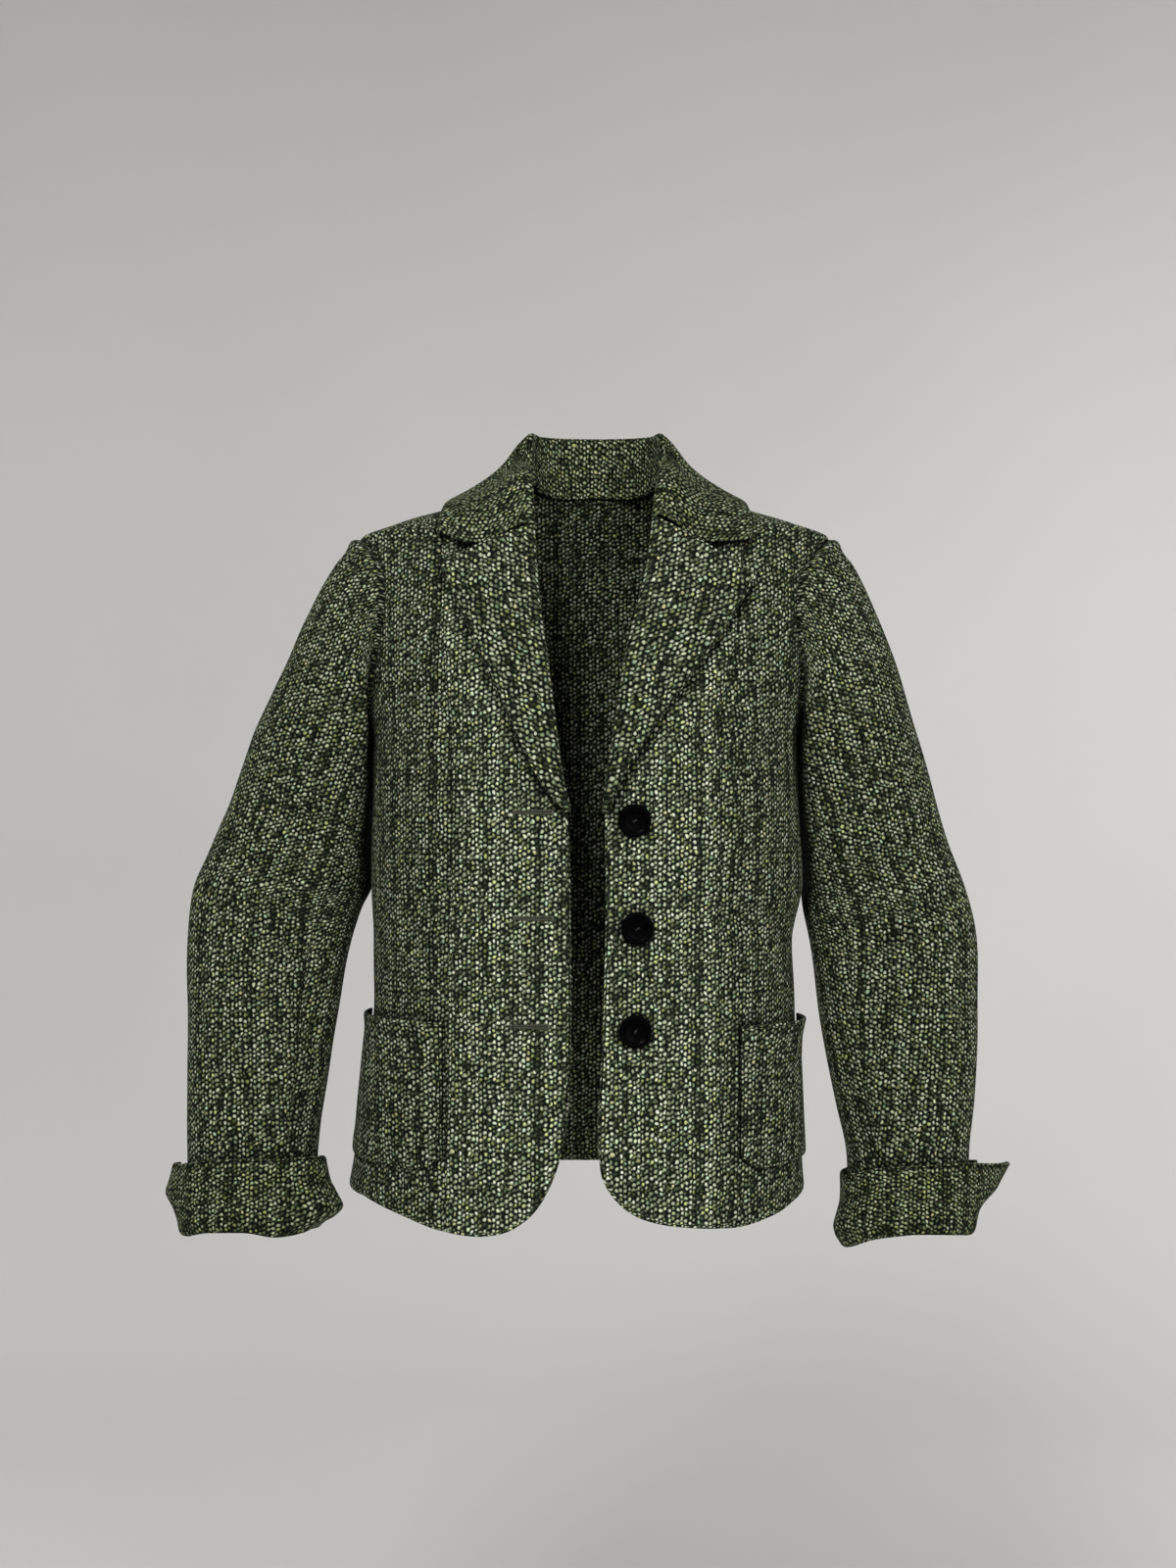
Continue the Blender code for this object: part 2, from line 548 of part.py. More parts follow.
def sleeve(side, turn, along):
    """Sleeve surface: turn round it, along 0 at the armhole to 1 at the wrist."""
    turn = np.asarray(turn, float)
    rows = SLEEVE[side]
    knots = [armhole_ring(side, turn)] + [ring(r, side, turn) for r in rows]
    mid = [k.mean(0) for k in knots]
    run = np.concatenate([[0], np.cumsum([np.linalg.norm(b - a) for a, b in zip(mid, mid[1:])])])
    run[1] = max(run[1], 0.09)
    run[2:] += run[1] - np.linalg.norm(mid[1] - mid[0])
    up = np.cos(2 * math.pi * turn)
    first = np.stack([sign(side) * (0.62 + 0.38 * np.maximum(up, 0)),
                      -0.30 * np.sin(2 * math.pi * turn), -0.30 - 0.70 * np.maximum(-up, 0)], -1)
    first *= (0.55 + 0.45 * np.maximum(up, 0))[:, None] * 0.75
    slopes = [first]
    for i in range(1, len(knots)):
        a, b = max(i - 1, 0), min(i + 1, len(knots) - 1)
        if i == 1:
            slopes.append((knots[2] - knots[1]) / (run[2] - run[1]))
        else:
            slopes.append((knots[b] - knots[a]) / (run[b] - run[a]))
    s = np.asarray(along, float) * run[-1]
    k = int(np.clip(np.searchsorted(run, s) - 1, 0, len(run) - 2))
    h = run[k + 1] - run[k]
    t = (s - run[k]) / h
    p = ((2 * t**3 - 3 * t**2 + 1) * knots[k] + (t**3 - 2 * t**2 + t) * h * slopes[k]
         + (-2 * t**3 + 3 * t**2) * knots[k + 1] + (t**3 - t**2) * h * slopes[k + 1])
    return clear_of_body(p, side, 0.0070, min(1.0, along / 0.05))


def sleeve_grid(side, turns, alongs):
    def at(t, a):
        return np.stack([sleeve(side, t, x) for x in a])
    e = 0.012
    grid = at(turns, alongs)
    du = at(turns + e, alongs) - at(turns - e, alongs)
    dv = at(turns, np.clip(alongs + e, 0, 1)) - at(turns, np.clip(alongs - e, 0, 1))
    normal = np.cross(du, dv) * sign(side)
    return grid, normal / np.linalg.norm(normal, axis=-1, keepdims=True)


def sleeve_piece(side, piece):
    """Top sleeve from the hind seam over the outer line to the fore seam; under sleeve the rest."""
    n = 2 * N_ARM
    first, last = (-HIND_SEAM, FORE_SEAM) if piece == "top" else (FORE_SEAM, n - HIND_SEAM)
    turns = np.arange(first - 1, last + 2) / n
    wide = np.stack([sleeve(side, turns, x) for x in np.linspace(0, 1, N_CAP_ROWS + 1)])
    step = np.diff(wide, axis=1)
    step /= np.linalg.norm(step, axis=-1, keepdims=True)
    normal = np.cross(step[:, :-1] + step[:, 1:], np.gradient(wide, axis=0)[:, 1:-1]) * sign(side)
    normal /= np.linalg.norm(normal, axis=-1, keepdims=True)
    return trim(wide[:, 1:-1], ["left", "right"], SLEEVE_SEAM / 2), normal


# ---------------------------------------------------------------- cuffs
def cuff_grid(side):
    """The turn-back band: columns round the wrist from split to split, rows up the turn."""
    split = CUFF_SPLIT / 360
    turns = np.linspace(-split + 0.004, 1 - split - 0.006, N_CUFF + 1)
    flare = CUFF_FLARE[side]
    angle = (turns + split) * 360
    low, mid, high = (smooth(column(flare, "turn"), column(flare, k), angle) for k in ("low", "mid", "high"))
    length = 0.60

    def at(t, w):
        off = np.interp(w, np.linspace(0, 1, len(CUFF)), column(CUFF, "off"))
        up = np.interp(w, np.linspace(0, 1, len(CUFF)), column(CUFF, "up"))
        base, nrm = sleeve_grid(side, t, np.array([1 - max(up, 0) / length]))
        base, nrm = base[0], nrm[0]
        end = sleeve_grid(side, t, np.array([1.0, 0.98]))[0]
        axis = (end[0] - end[1]) / np.linalg.norm(end[0] - end[1], axis=-1, keepdims=True)
        share = np.clip(up / CUFF_TURN, 0, 1)
        extra = (low * np.clip(1 - abs(share - 0.22) / 0.35, 0, 1) * (share > 0.02)
                 + mid * np.clip(1 - abs(share - 0.55) / 0.45, 0, 1) + high * np.clip((share - 0.3) / 0.7, 0, 1))
        return base + nrm * (off + extra)[:, None] - axis * min(up, 0)

    ws = np.linspace(0, 1, len(CUFF))
    grid = np.stack([at(turns, w) for w in ws])
    e = 2e-3
    du = np.stack([at(turns + 1e-3, w) - at(turns - 1e-3, w) for w in ws])
    dv = np.stack([at(turns, min(w + e, 1)) - at(turns, max(w - e, 0)) for w in ws])
    normal = np.cross(du, dv) * sign(side)
    return grid, normal / np.linalg.norm(normal, axis=-1, keepdims=True)


# ---------------------------------------------------------------- lapels and collar
def lapel_grid(side, across=5, rows=10):
    """Facing turned out over the front: from the roll to the outer edge, foot to gorge."""
    s = sign(side)
    roll_z = np.linspace(BREAK_Z, GORGE[side].z, rows + 1)
    roll_x = seam_x(ROLL, side, roll_z)
    edge_x, edge_z = column(LAPEL[side], "x"), column(LAPEL[side], "z")
    run = np.concatenate([[0], np.cumsum(np.hypot(np.diff(edge_x), np.diff(edge_z)))])
    want = np.linspace(0, run[-1], rows + 1)
    ex, ez = smooth(run, edge_x, want), smooth(run, edge_z, want)
    # rows: two close to the roll, then across the lapel
    share = np.concatenate([[0, 0], np.linspace(0, 1, across)[1:]])
    grid = np.zeros((rows + 1, across + 1, 3))
    for j in range(rows + 1):
        width = abs(ex[j] - roll_x[j])
        turn_in = min(1.0, width / 0.012)
        xs = roll_x[j] + (ex[j] - roll_x[j]) * share
        zs = roll_z[j] + (ez[j] - roll_z[j]) * share
        out = np.interp(share, [0, 0.15, 0.5, 1.0], [0.0038, 0.0050, 0.0062, 0.0050])
        out[0] = -0.0006
        xs[0] = roll_x[j] + s * 0.0012
        xs[1] = roll_x[j] + s * (0.0016 + 0.001 * (1 - turn_in))
        if j == 0:
            xs = roll_x[j] + s * (0.0012 + 0.0009 * np.arange(across + 1))
            zs = np.full(across + 1, roll_z[j])
            out = np.full(across + 1, 0.0044)
            out[0] = 0.0036
        grid[j] = front_at(xs, zs, out)
    return grid


def grid_normals(grid, facing):
    du, dv = np.gradient(grid, axis=1), np.gradient(grid, axis=0)
    n = np.cross(du, dv)
    n /= np.linalg.norm(n, axis=-1, keepdims=True) + 1e-12
    mid = tuple(k // 2 for k in n.shape[:2])
    if np.dot(n[mid], facing) < 0:
        n = -n
    return n


def lift(p, out):
    """A point moved out until it stands at least this far off the body."""
    on, normal = onto(p)
    return on + normal * max(out, float(np.dot(p - on, normal)))


def collar_grid():
    """Stand and fall from the right gorge round the neck to the left gorge."""
    def front_station(side, share):
        """Between the gorge (0) and the neck point (1): the fall lies on the front."""
        s = sign(side)
        z = GORGE[side].z * (1 - share) - 0.012 * share
        roll = float(seam_x(ROLL, side, z))
        base = front_at(roll + s * 0.0012, z, -0.0006 + 0.001 * share)
        fold = front_at(roll + s * 0.0018, z + 0.010 * share, 0.0036 + 0.006 * share)
        notch = front_at(NOTCH[side].x, NOTCH[side].z)
        point = front_at(COLLAR_POINT[side].x, COLLAR_POINT[side].z)
        fall = notch * (1 - share) + np.array([s * 0.0800, -0.030, -0.010]) * share
        edge = point * (1 - share) + np.array([s * 0.1220, -0.026, -0.036]) * share
        return base, fold, lift(fall, 0.0066), lift(edge, 0.0060)

    stations = []
    for side in ("right", "left"):
        half = [(turn,) + front_station(side, share) for turn, share in ((0.0, 0.0), (0.13, 0.5), (0.26, 1.0))]
        for row in COLLAR_BACK:
            flip = np.array([sign(side), 1, 1])
            base, fold, fall, edge = (np.array(k) * flip for k in (row.base, row.fold, row.fall, row.edge))
            edge = lift(edge, 0.0064)
            if row.turn > 0.9 and side == "left":
                continue
            half.append((row.turn, base, fold, fall, edge))
        stations.append(half)
    path = [(t, *pts) for t, *pts in stations[0]] + [(2 - t, *pts) for t, *pts in stations[1][::-1]]
    turn = np.array([p[0] for p in path])
    want = np.linspace(0, 2, 2 * N_COLLAR + 1)
    lines = []
    for k in range(1, 5):
        pts = np.array([p[k] for p in path])
        lines.append(np.stack([smooth(turn, pts[:, c], want) for c in range(3)], -1))
    base, fold, fall, edge = lines
    # across: base, fold's inner side, fold, its outer side, fall, edge
    grid = np.stack([base, base + (fold - base) * 0.75, fold,
                     fold + (fall - fold) * 0.35, fall, fall + (edge - fall) * 0.5, edge], 0)
    return grid


# ---------------------------------------------------------------- pockets and buttons
def pocket_grid(side, across=6, rows=6):
    """Patch pocket: the body's points inside its outline, moved out."""
    spec, s = POCKET[side], sign(side)
    zs = np.linspace(spec.bottom, spec.top, rows + 1)
    grid = np.zeros((rows + 1, across + 1, 3))
    for j, z in enumerate(zs):
        lift = (j / rows)
        inner = front_at(spec.inner, z)
        start = math.acos(min(1.0, (abs(spec.inner - section(z, "centre")) / section(z, "half")) ** (FRONT_ROUND / 2)))
        stop = math.asin(min(1.0, (spec.side / section(z, "front")) ** (FRONT_ROUND / 2)))
        a = np.linspace(start, stop, across + 1)
        corner = max(0.0, 1 - j * 1.6)
        zz = z + 0.010 * corner * np.array([1] + [0] * (across - 1) + [1])
        x = section(zz, "centre") + s * section(zz, "half") * np.cos(a) ** (2 / FRONT_ROUND)
        y = -section(zz, "front") * np.sin(a) ** (2 / FRONT_ROUND)
        p = np.stack([x, y, zz], -1)
        g = slope(p)
        g /= np.linalg.norm(g, axis=-1, keepdims=True)
        u = np.linspace(0, 1, across + 1)
        belly = np.sin(math.pi * u) ** 0.7 * math.sin(math.pi * min(lift * 0.55 + 0.02, 1)) ** 0.8
        out = POCKET_EDGE + (spec.belly - POCKET_EDGE) * belly
        out += (spec.mouth - spec.belly) * np.sin(math.pi * u) * max(0.0, lift * 3 - 2)
        grid[j] = p + g * out[:, None]
    return grid


# ---------------------------------------------------------------- building
def finish(spec):
    mat = bpy.data.materials.new(spec.name)
    mat.use_nodes = True
    node = mat.node_tree.nodes["Principled BSDF"]
    node.inputs["Base Color"].default_value = spec.colour
    node.inputs["Roughness"].default_value = spec.roughness
    node.inputs["Metallic"].default_value = spec.metallic
    return mat


def place(name, mesh, spec, home):
    for old in bpy.data.materials:
        if old.name == name + "_" + spec.name:
            bpy.data.materials.remove(old)
    mat = finish(spec)
    mat.name = name + "_" + spec.name
    mesh.materials.append(mat)
    obj = bpy.data.objects.new(name, mesh)
    home.objects.link(obj)
    return obj


def wall(name, middle, normal, home, spec=TWEED, thick=CLOTH):
    """A thin wall: a grid laid on the inner face, grown outwards to the outer face."""
    rows, cols = middle.shape[:2]
    bm = bmesh.new()
    row_of, col_of = bm.verts.layers.int.new("row"), bm.verts.layers.int.new("col")
    bmesh.ops.create_grid(bm, x_segments=cols - 1, y_segments=rows - 1, size=0.5)
    for v in bm.verts:
        v[col_of] = round((v.co.x + 0.5) * (cols - 1))
        v[row_of] = round((v.co.y + 0.5) * (rows - 1))
        v.co = middle[v[row_of], v[col_of]] - normal[v[row_of], v[col_of]] * thick / 2
    grown = bmesh.ops.extrude_face_region(bm, geom=bm.faces[:], use_keep_orig=True)
    for v in (g for g in grown["geom"] if isinstance(g, bmesh.types.BMVert)):
        v.co = middle[v[row_of], v[col_of]] + normal[v[row_of], v[col_of]] * thick / 2
    bmesh.ops.recalc_face_normals(bm, faces=bm.faces[:])
    mesh = bpy.data.meshes.new(name)
    bm.to_mesh(mesh)
    bm.free()
    obj = place(name, mesh, spec, home)
    mesh.shade_smooth()
    mesh.set_sharp_from_angle(angle=math.radians(40))
    return obj


def button(row, home):
    """A turned disc with a raised rim and a shallow dish, on the left front."""
    centre = front_at(row.x, row.z, CLOTH / 2 + 0.0010 + BUTTON_T / 2)
    inner = front_at(row.x, row.z)
    r, t = BUTTON_D / 2, BUTTON_T / 2
    profile = [(0.0, t * 0.35), (r * 0.62, t * 0.40), (r * 0.76, t * 0.95), (r * 0.90, t),
               (r, t * 0.45), (r, -t * 0.35), (r * 0.88, -t), (0.0, -t)]
    mesh = bpy.data.meshes.new(row.name)
    mesh.from_pydata([(x, 0, z) for x, z in profile], [(i, i + 1) for i in range(len(profile) - 1)], [])
    obj = place(row.name, mesh, BLACK, home)
    turn = obj.modifiers.new("turn", "SCREW")
    turn.steps = turn.render_steps = 28
    turn.merge_threshold = 1e-5
    turn.use_merge_vertices = True
    turn.use_smooth_shade = True
    out = Vector(centre - inner).normalized()
    obj.matrix_world = Matrix.Translation(Vector(centre)) @ out.to_track_quat("Z", "Y").to_matrix().to_4x4()
    return obj


def main():
    for obj in list(bpy.data.objects):
        bpy.data.objects.remove(obj, do_unlink=True)
    home = bpy.data.collections.new("tweed_hacking_jacket")
    bpy.context.scene.collection.children.link(home)

    wall("back", *back(), home)
    for side in ("right", "left"):
        wall("front_" + side, *centre_front(side), home)
        wall("side_front_" + side, *side_front(side), home)
        wall("sleeve_top_" + side, *sleeve_piece(side, "top"), home)
        wall("sleeve_under_" + side, *sleeve_piece(side, "under"), home)
        wall("cuff_" + side, *cuff_grid(side), home)
        lapel = lapel_grid(side)
        wall("lapel_" + side, trim(lapel, ["top"]), grid_normals(lapel, (0, -1, 0)), home)
        pocket = pocket_grid(side)
        wall("pocket_" + side, pocket, grid_normals(pocket, (sign(side) * 0.5, -1, 0)), home)
    collar = collar_grid()
    wall("collar", collar, grid_normals(collar, (0, 1, 0)), home)
    for row in BUTTONS:
        button(row, home)


main()
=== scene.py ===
"""Visual model of the tweed hacking jacket, worn open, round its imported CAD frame.

Frame: +X is the wearer's left, -Y is the front, +Z is up. The origin is the centre of the
neck opening. Metres. Every cloth piece is a closed thin shell on the same worked-out surface
as its solid, with turned edges, seams, rolls and creases, and a weave laid by arc length.
"""
import math
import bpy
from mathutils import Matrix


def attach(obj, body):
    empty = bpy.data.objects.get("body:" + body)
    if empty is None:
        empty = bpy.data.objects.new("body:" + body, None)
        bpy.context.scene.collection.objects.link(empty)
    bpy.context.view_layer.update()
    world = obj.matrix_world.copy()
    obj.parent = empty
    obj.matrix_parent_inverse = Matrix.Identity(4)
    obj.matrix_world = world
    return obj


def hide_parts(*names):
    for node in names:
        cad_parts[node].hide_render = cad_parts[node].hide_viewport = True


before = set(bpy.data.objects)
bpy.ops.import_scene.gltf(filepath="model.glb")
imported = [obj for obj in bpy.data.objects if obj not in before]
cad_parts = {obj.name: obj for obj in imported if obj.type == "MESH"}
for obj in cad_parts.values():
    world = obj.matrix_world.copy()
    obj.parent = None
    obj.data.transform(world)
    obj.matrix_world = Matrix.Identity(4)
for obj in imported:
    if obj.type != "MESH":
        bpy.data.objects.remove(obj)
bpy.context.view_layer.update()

from collections import namedtuple

import bpy
import numpy as np
from mathutils import Matrix, Vector

# ---------------------------------------------------------------- driving sizes
CLOTH = 0.0024          # thickness of the tweed wall
SEAM = 0.0003           # gap between sewn pieces
SLEEVE_SEAM = 0.0014    # the same down the sleeves, where the wall turns more sharply
TIP_Z = -0.060          # shoulder tip, below the neck point
ARMPIT_Z = -0.225       # underarm, below the neck point
NECK_BACK_Z = -0.018    # centre back of the neckline
FRONT_ROUND = 2.3       # exponent of the body sections, front half
BACK_ROUND = 2.5        # exponent of the body sections, back half
ARM_FRONT = 0.060       # reach of the armhole in front of the shoulder seam
ARM_BACK = 0.062        # reach of the armhole behind it
CUFF_TURN = 0.061       # height of the turn-back cuff
BUTTON_D = 0.0254       # button diameter (40 line)
BUTTON_T = 0.0040       # button thickness
BACK_HEM_Z = -0.597     # hem at the centre back

# Columns and rows of the walls
N_NECK, N_FRONT, N_SIDE, N_ARM, N_LOW = 36, 32, 34, 62, 112
N_CAP_ROWS = 17

Section = namedtuple("Section", "z centre half front back")
BODY = [  # horizontal sections of the body, top to bottom
    Section(0.020, 0.0000, 0.0300, 0.018, 0.026),
    Section(0.000, 0.0000, 0.0550, 0.030, 0.037),
    Section(-0.018, 0.0000, 0.0840, 0.044, 0.050),
    Section(-0.034, -0.0005, 0.1195, 0.055, 0.062),
    Section(-0.048, -0.0005, 0.1640, 0.064, 0.072),
    Section(-0.060, -0.0010, 0.1945, 0.072, 0.081),
    Section(-0.075, -0.0020, 0.1940, 0.082, 0.090),
    Section(-0.090, -0.0030, 0.1900, 0.091, 0.097),
    Section(-0.110, -0.0045, 0.1880, 0.102, 0.105),
    Section(-0.140, -0.0060, 0.1870, 0.114, 0.112),
    Section(-0.170, -0.0075, 0.1850, 0.124, 0.115),
    Section(-0.200, -0.0080, 0.1800, 0.131, 0.115),
    Section(-0.225, -0.0083, 0.1745, 0.135, 0.112),
    Section(-0.260, -0.0085, 0.1740, 0.137, 0.107),
    Section(-0.300, -0.0080, 0.1755, 0.135, 0.100),
    Section(-0.340, -0.0070, 0.1770, 0.130, 0.092),
    Section(-0.390, -0.0105, 0.1718, 0.127, 0.088),
    Section(-0.440, -0.0094, 0.1724, 0.126, 0.092),
    Section(-0.490, -0.0115, 0.1765, 0.128, 0.103),
    Section(-0.540, -0.0130, 0.1810, 0.130, 0.113),
    Section(-0.600, -0.0163, 0.1874, 0.132, 0.121),
    Section(-0.640, -0.0175, 0.1900, 0.132, 0.124),
]

# Line down the front edge, from the neck point along the lapel's roll to the hem corner.
EdgeRow = namedtuple("EdgeRow", "z right left")
ROLL = [
    EdgeRow(0.000, -0.0550, 0.0550),
    EdgeRow(-0.030, -0.0515, 0.0485),
    EdgeRow(-0.060, -0.0497, 0.0447),
    EdgeRow(-0.090, -0.0475, 0.0405),
    EdgeRow(-0.120, -0.0448, 0.0335),
    EdgeRow(-0.165, -0.0385, 0.0225),
    EdgeRow(-0.205, -0.0332, 0.0165),
    EdgeRow(-0.250, -0.0275, 0.0097),
    EdgeRow(-0.285, -0.0215, 0.0062),
    EdgeRow(-0.340, -0.0200, 0.0072),
    EdgeRow(-0.425, -0.0193, 0.0055),
    EdgeRow(-0.500, -0.0202, 0.0020),
    EdgeRow(-0.531, -0.0230, -0.0005),
]
BREAK_Z = -0.283        # bottom of the lapel's roll

# Shoulder princess seam, from the shoulder to the hem.
PRINCESS = [
    EdgeRow(-0.035, -0.1225, 0.1205),
    EdgeRow(-0.120, -0.1220, 0.1140),
    EdgeRow(-0.200, -0.1150, 0.0995),
    EdgeRow(-0.290, -0.1120, 0.0965),
    EdgeRow(-0.410, -0.1160, 0.0975),
    EdgeRow(-0.620, -0.1175, 0.0975),
]

# Front hem from the start of the rounded corner to the side seam.
HemRow = namedtuple("HemRow", "x z")
HEM = {
    "right": [HemRow(-0.0204, -0.505), HemRow(-0.0250, -0.5366), HemRow(-0.0350, -0.5685),
              HemRow(-0.0523, -0.5938), HemRow(-0.0756, -0.6066), HemRow(-0.0930, -0.6088),
              HemRow(-0.1188, -0.6065), HemRow(-0.1500, -0.5985), HemRow(-0.1850, -0.5900)],
    "left": [HemRow(-0.0003, -0.524), HemRow(0.0035, -0.5600), HemRow(0.0168, -0.5824),
             HemRow(0.0371, -0.5954), HemRow(0.0620, -0.6015), HemRow(0.1090, -0.6060),
             HemRow(0.1406, -0.6015), HemRow(0.1600, -0.5950)],
}
SIDE_HEM_Z = -0.5895

# Lapel outer edge from the roll's foot to the corner; gorge line from the roll to the corner.
LAPEL = {
    "right": [HemRow(-0.0225, -0.2830), HemRow(-0.0405, -0.2640), HemRow(-0.0745, -0.1930),
              HemRow(-0.0977, -0.1432), HemRow(-0.1235, -0.0880)],
    "left": [HemRow(0.0072, -0.2810), HemRow(0.0237, -0.2482), HemRow(0.0426, -0.2195),
             HemRow(0.0690, -0.1817), HemRow(0.0999, -0.1394), HemRow(0.1253, -0.0975)],
}
GORGE = {"right": HemRow(-0.0497, -0.0569), "left": HemRow(0.0455, -0.0500)}
NOTCH = {"right": HemRow(-0.0939, -0.0746), "left": HemRow(0.0871, -0.0738)}
COLLAR_POINT = {"right": HemRow(-0.1262, -0.0625), "left": HemRow(0.1235, -0.0680)}

# Sleeve sections: outer point in the front view, width across, tilt of the section (degrees),
# depth centre, half depth, and pitch (degrees, front edge raised).
SleeveRow = namedtuple("SleeveRow", "x z width tilt y depth pitch")
SLEEVE = {
    "right": [SleeveRow(0.2625, -0.1751, 0.125, 21, 0.004, 0.062, -2),
              SleeveRow(0.2860, -0.2280, 0.126, 21, 0.008, 0.060, -2),
              SleeveRow(0.3066, -0.2807, 0.127, 17, 0.012, 0.057, 0),
              SleeveRow(0.3250, -0.3242, 0.139, 9, 0.013, 0.055, 2),
              SleeveRow(0.3350, -0.3500, 0.139, 5, 0.011, 0.053, 4),
              SleeveRow(0.3362, -0.4042, 0.128, 0, 0.000, 0.052, 8),
              SleeveRow(0.3345, -0.4835, 0.1153, 0, -0.016, 0.050, 10),
              SleeveRow(0.3323, -0.5411, 0.105, 0, -0.028, 0.048, 10),
              SleeveRow(0.3295, -0.6215, 0.1000, 0, -0.040, 0.047, 10)],
    "left": [SleeveRow(0.2561, -0.1898, 0.125, 19, 0.004, 0.062, -2),
             SleeveRow(0.2762, -0.2503, 0.127, 18, 0.009, 0.059, -1),
             SleeveRow(0.2946, -0.3102, 0.128, 14, 0.013, 0.056, 1),
             SleeveRow(0.3090, -0.3500, 0.135, 7, 0.013, 0.054, 3),
             SleeveRow(0.3154, -0.3896, 0.1355, 2, 0.005, 0.053, 6),
             SleeveRow(0.3128, -0.4540, 0.127, 0, -0.008, 0.051, 9),
             SleeveRow(0.3074, -0.5225, 0.1090, 0, -0.024, 0.049, 10),
             SleeveRow(0.3031, -0.5618, 0.0970, 0, -0.031, 0.047, 10),
             SleeveRow(0.2990, -0.6215, 0.0935, 0, -0.040, 0.046, 10)],
}
SLEEVE_ROUND = 2.2
HIND_SEAM, FORE_SEAM = 2, 5     # armhole columns where the two sleeve pieces meet

# Cuff: distance off the sleeve and height above the fold at the bottom.
CuffRow = namedtuple("CuffRow", "off up")
CUFF = [CuffRow(0.0000, -0.0034), CuffRow(0.0052, 0.0000), CuffRow(0.0062, 0.0120),
        CuffRow(0.0062, 0.0350), CuffRow(0.0060, CUFF_TURN)]
# Extra flare round the cuff: angle from the outer line towards the front (degrees).
FlareRow = namedtuple("FlareRow", "turn low mid high")
CUFF_FLARE = {
    "right": [FlareRow(0, 0.0000, 0.0075, 0.0020), FlareRow(25, 0.0000, 0.0030, 0.0010),
              FlareRow(60, 0.0000, 0.0, 0.0), FlareRow(140, 0.0020, 0.0010, 0.0),
              FlareRow(180, 0.0100, 0.0040, 0.0), FlareRow(220, 0.0050, 0.0020, 0.0),
              FlareRow(300, 0.0, 0.0, 0.0), FlareRow(352, 0.0, 0.0, 0.0)],
    "left": [FlareRow(0, 0.0000, 0.0080, 0.0240), FlareRow(25, 0.0000, 0.0030, 0.0080),
             FlareRow(60, 0.0, 0.0, 0.0), FlareRow(140, 0.0, 0.0, 0.0),
             FlareRow(180, 0.0010, 0.0, 0.0), FlareRow(220, 0.0, 0.0, 0.0),
             FlareRow(300, 0.0, 0.0, 0.0), FlareRow(352, 0.0, 0.0, 0.0)],
}
CUFF_SPLIT = 14         # degrees behind the outer line where the cuff is split
N_CUFF = 16

# Collar stations from the gorge round to the centre back, in body x, y, z.
# base = neck seam, fold = top of the roll, fall = middle of the fall, edge = its outer edge.
CollarRow = namedtuple("CollarRow", "turn base fold fall edge")
COLLAR_BACK = [
    CollarRow(0.42, (0.0540, 0.0000, 0.0035), (0.0530, 0.0040, 0.0305), (0.0775, 0.0040, 0.0025),
              (0.1170, 0.0020, -0.0272)),
    CollarRow(0.60, (0.0440, 0.0270, -0.0040), (0.0450, 0.0310, 0.0325), (0.0680, 0.0400, 0.0040),
              (0.0960, 0.0510, -0.0320)),
    CollarRow(0.80, (0.0240, 0.0420, -0.0120), (0.0250, 0.0480, 0.0340), (0.0390, 0.0640, 0.0060),
              (0.0520, 0.0680, -0.0360)),
    CollarRow(1.00, (0.0000, 0.0470, -0.0150), (0.0000, 0.0530, 0.0345), (0.0000, 0.0700, 0.0070),
              (0.0000, 0.0730, -0.0370)),
]
N_COLLAR, N_COLLAR_ACROSS = 12, 6

# Patch pockets, on the side fronts: x of the inner edge, distance of the outer edge from the
# side seam, top and bottom, and how far it stands off the cloth at the mouth and in the middle.
PocketRow = namedtuple("PocketRow", "inner side top bottom mouth belly")
POCKET = {
    "right": PocketRow(-0.1185, 0.010, -0.446, -0.561, 0.0085, 0.0075),
    "left": PocketRow(0.1105, 0.010, -0.450, -0.562, 0.0105, 0.0065),
}
POCKET_EDGE = 0.0044

ButtonRow = namedtuple("ButtonRow", "name x z")
BUTTONS = [ButtonRow("button_top", 0.0286, -0.2887), ButtonRow("button_middle", 0.0309, -0.3716),
           ButtonRow("button_bottom", 0.0294, -0.4509)]

Finish = namedtuple("Finish", "name colour roughness metallic")
TWEED = Finish("tweed", (0.055, 0.085, 0.052, 1.0), 0.92, 0.0)
BLACK = Finish("black_button", (0.006, 0.006, 0.007, 1.0), 0.22, 0.0)


# ---------------------------------------------------------------- curves and sections
def smooth(xs, ys, x):
    """Monotone cubic through (xs, ys), read at x."""
    xs, ys, x = np.asarray(xs, float), np.asarray(ys, float), np.asarray(x, float)
    if xs[0] > xs[-1]:
        xs, ys = xs[::-1], ys[::-1]
    h, d = np.diff(xs), np.diff(ys) / np.diff(xs)
    m = np.zeros_like(ys)
    m[0], m[-1] = d[0], d[-1]
    for i in range(1, len(xs) - 1):
        if d[i - 1] * d[i] > 0:
            w1, w2 = 2 * h[i] + h[i - 1], h[i] + 2 * h[i - 1]
            m[i] = (w1 + w2) / (w1 / d[i - 1] + w2 / d[i])
    x = np.clip(x, xs[0], xs[-1])
    k = np.clip(np.searchsorted(xs, x) - 1, 0, len(xs) - 2)
    t = (x - xs[k]) / h[k]
    return ((2 * t**3 - 3 * t**2 + 1) * ys[k] + (t**3 - 2 * t**2 + t) * h[k] * m[k]
            + (-2 * t**3 + 3 * t**2) * ys[k + 1] + (t**3 - t**2) * h[k] * m[k + 1])


def column(rows, name):
    return np.array([getattr(r, name) for r in rows])


def section(z, name):
    return smooth(column(BODY, "z"), column(BODY, name), z)


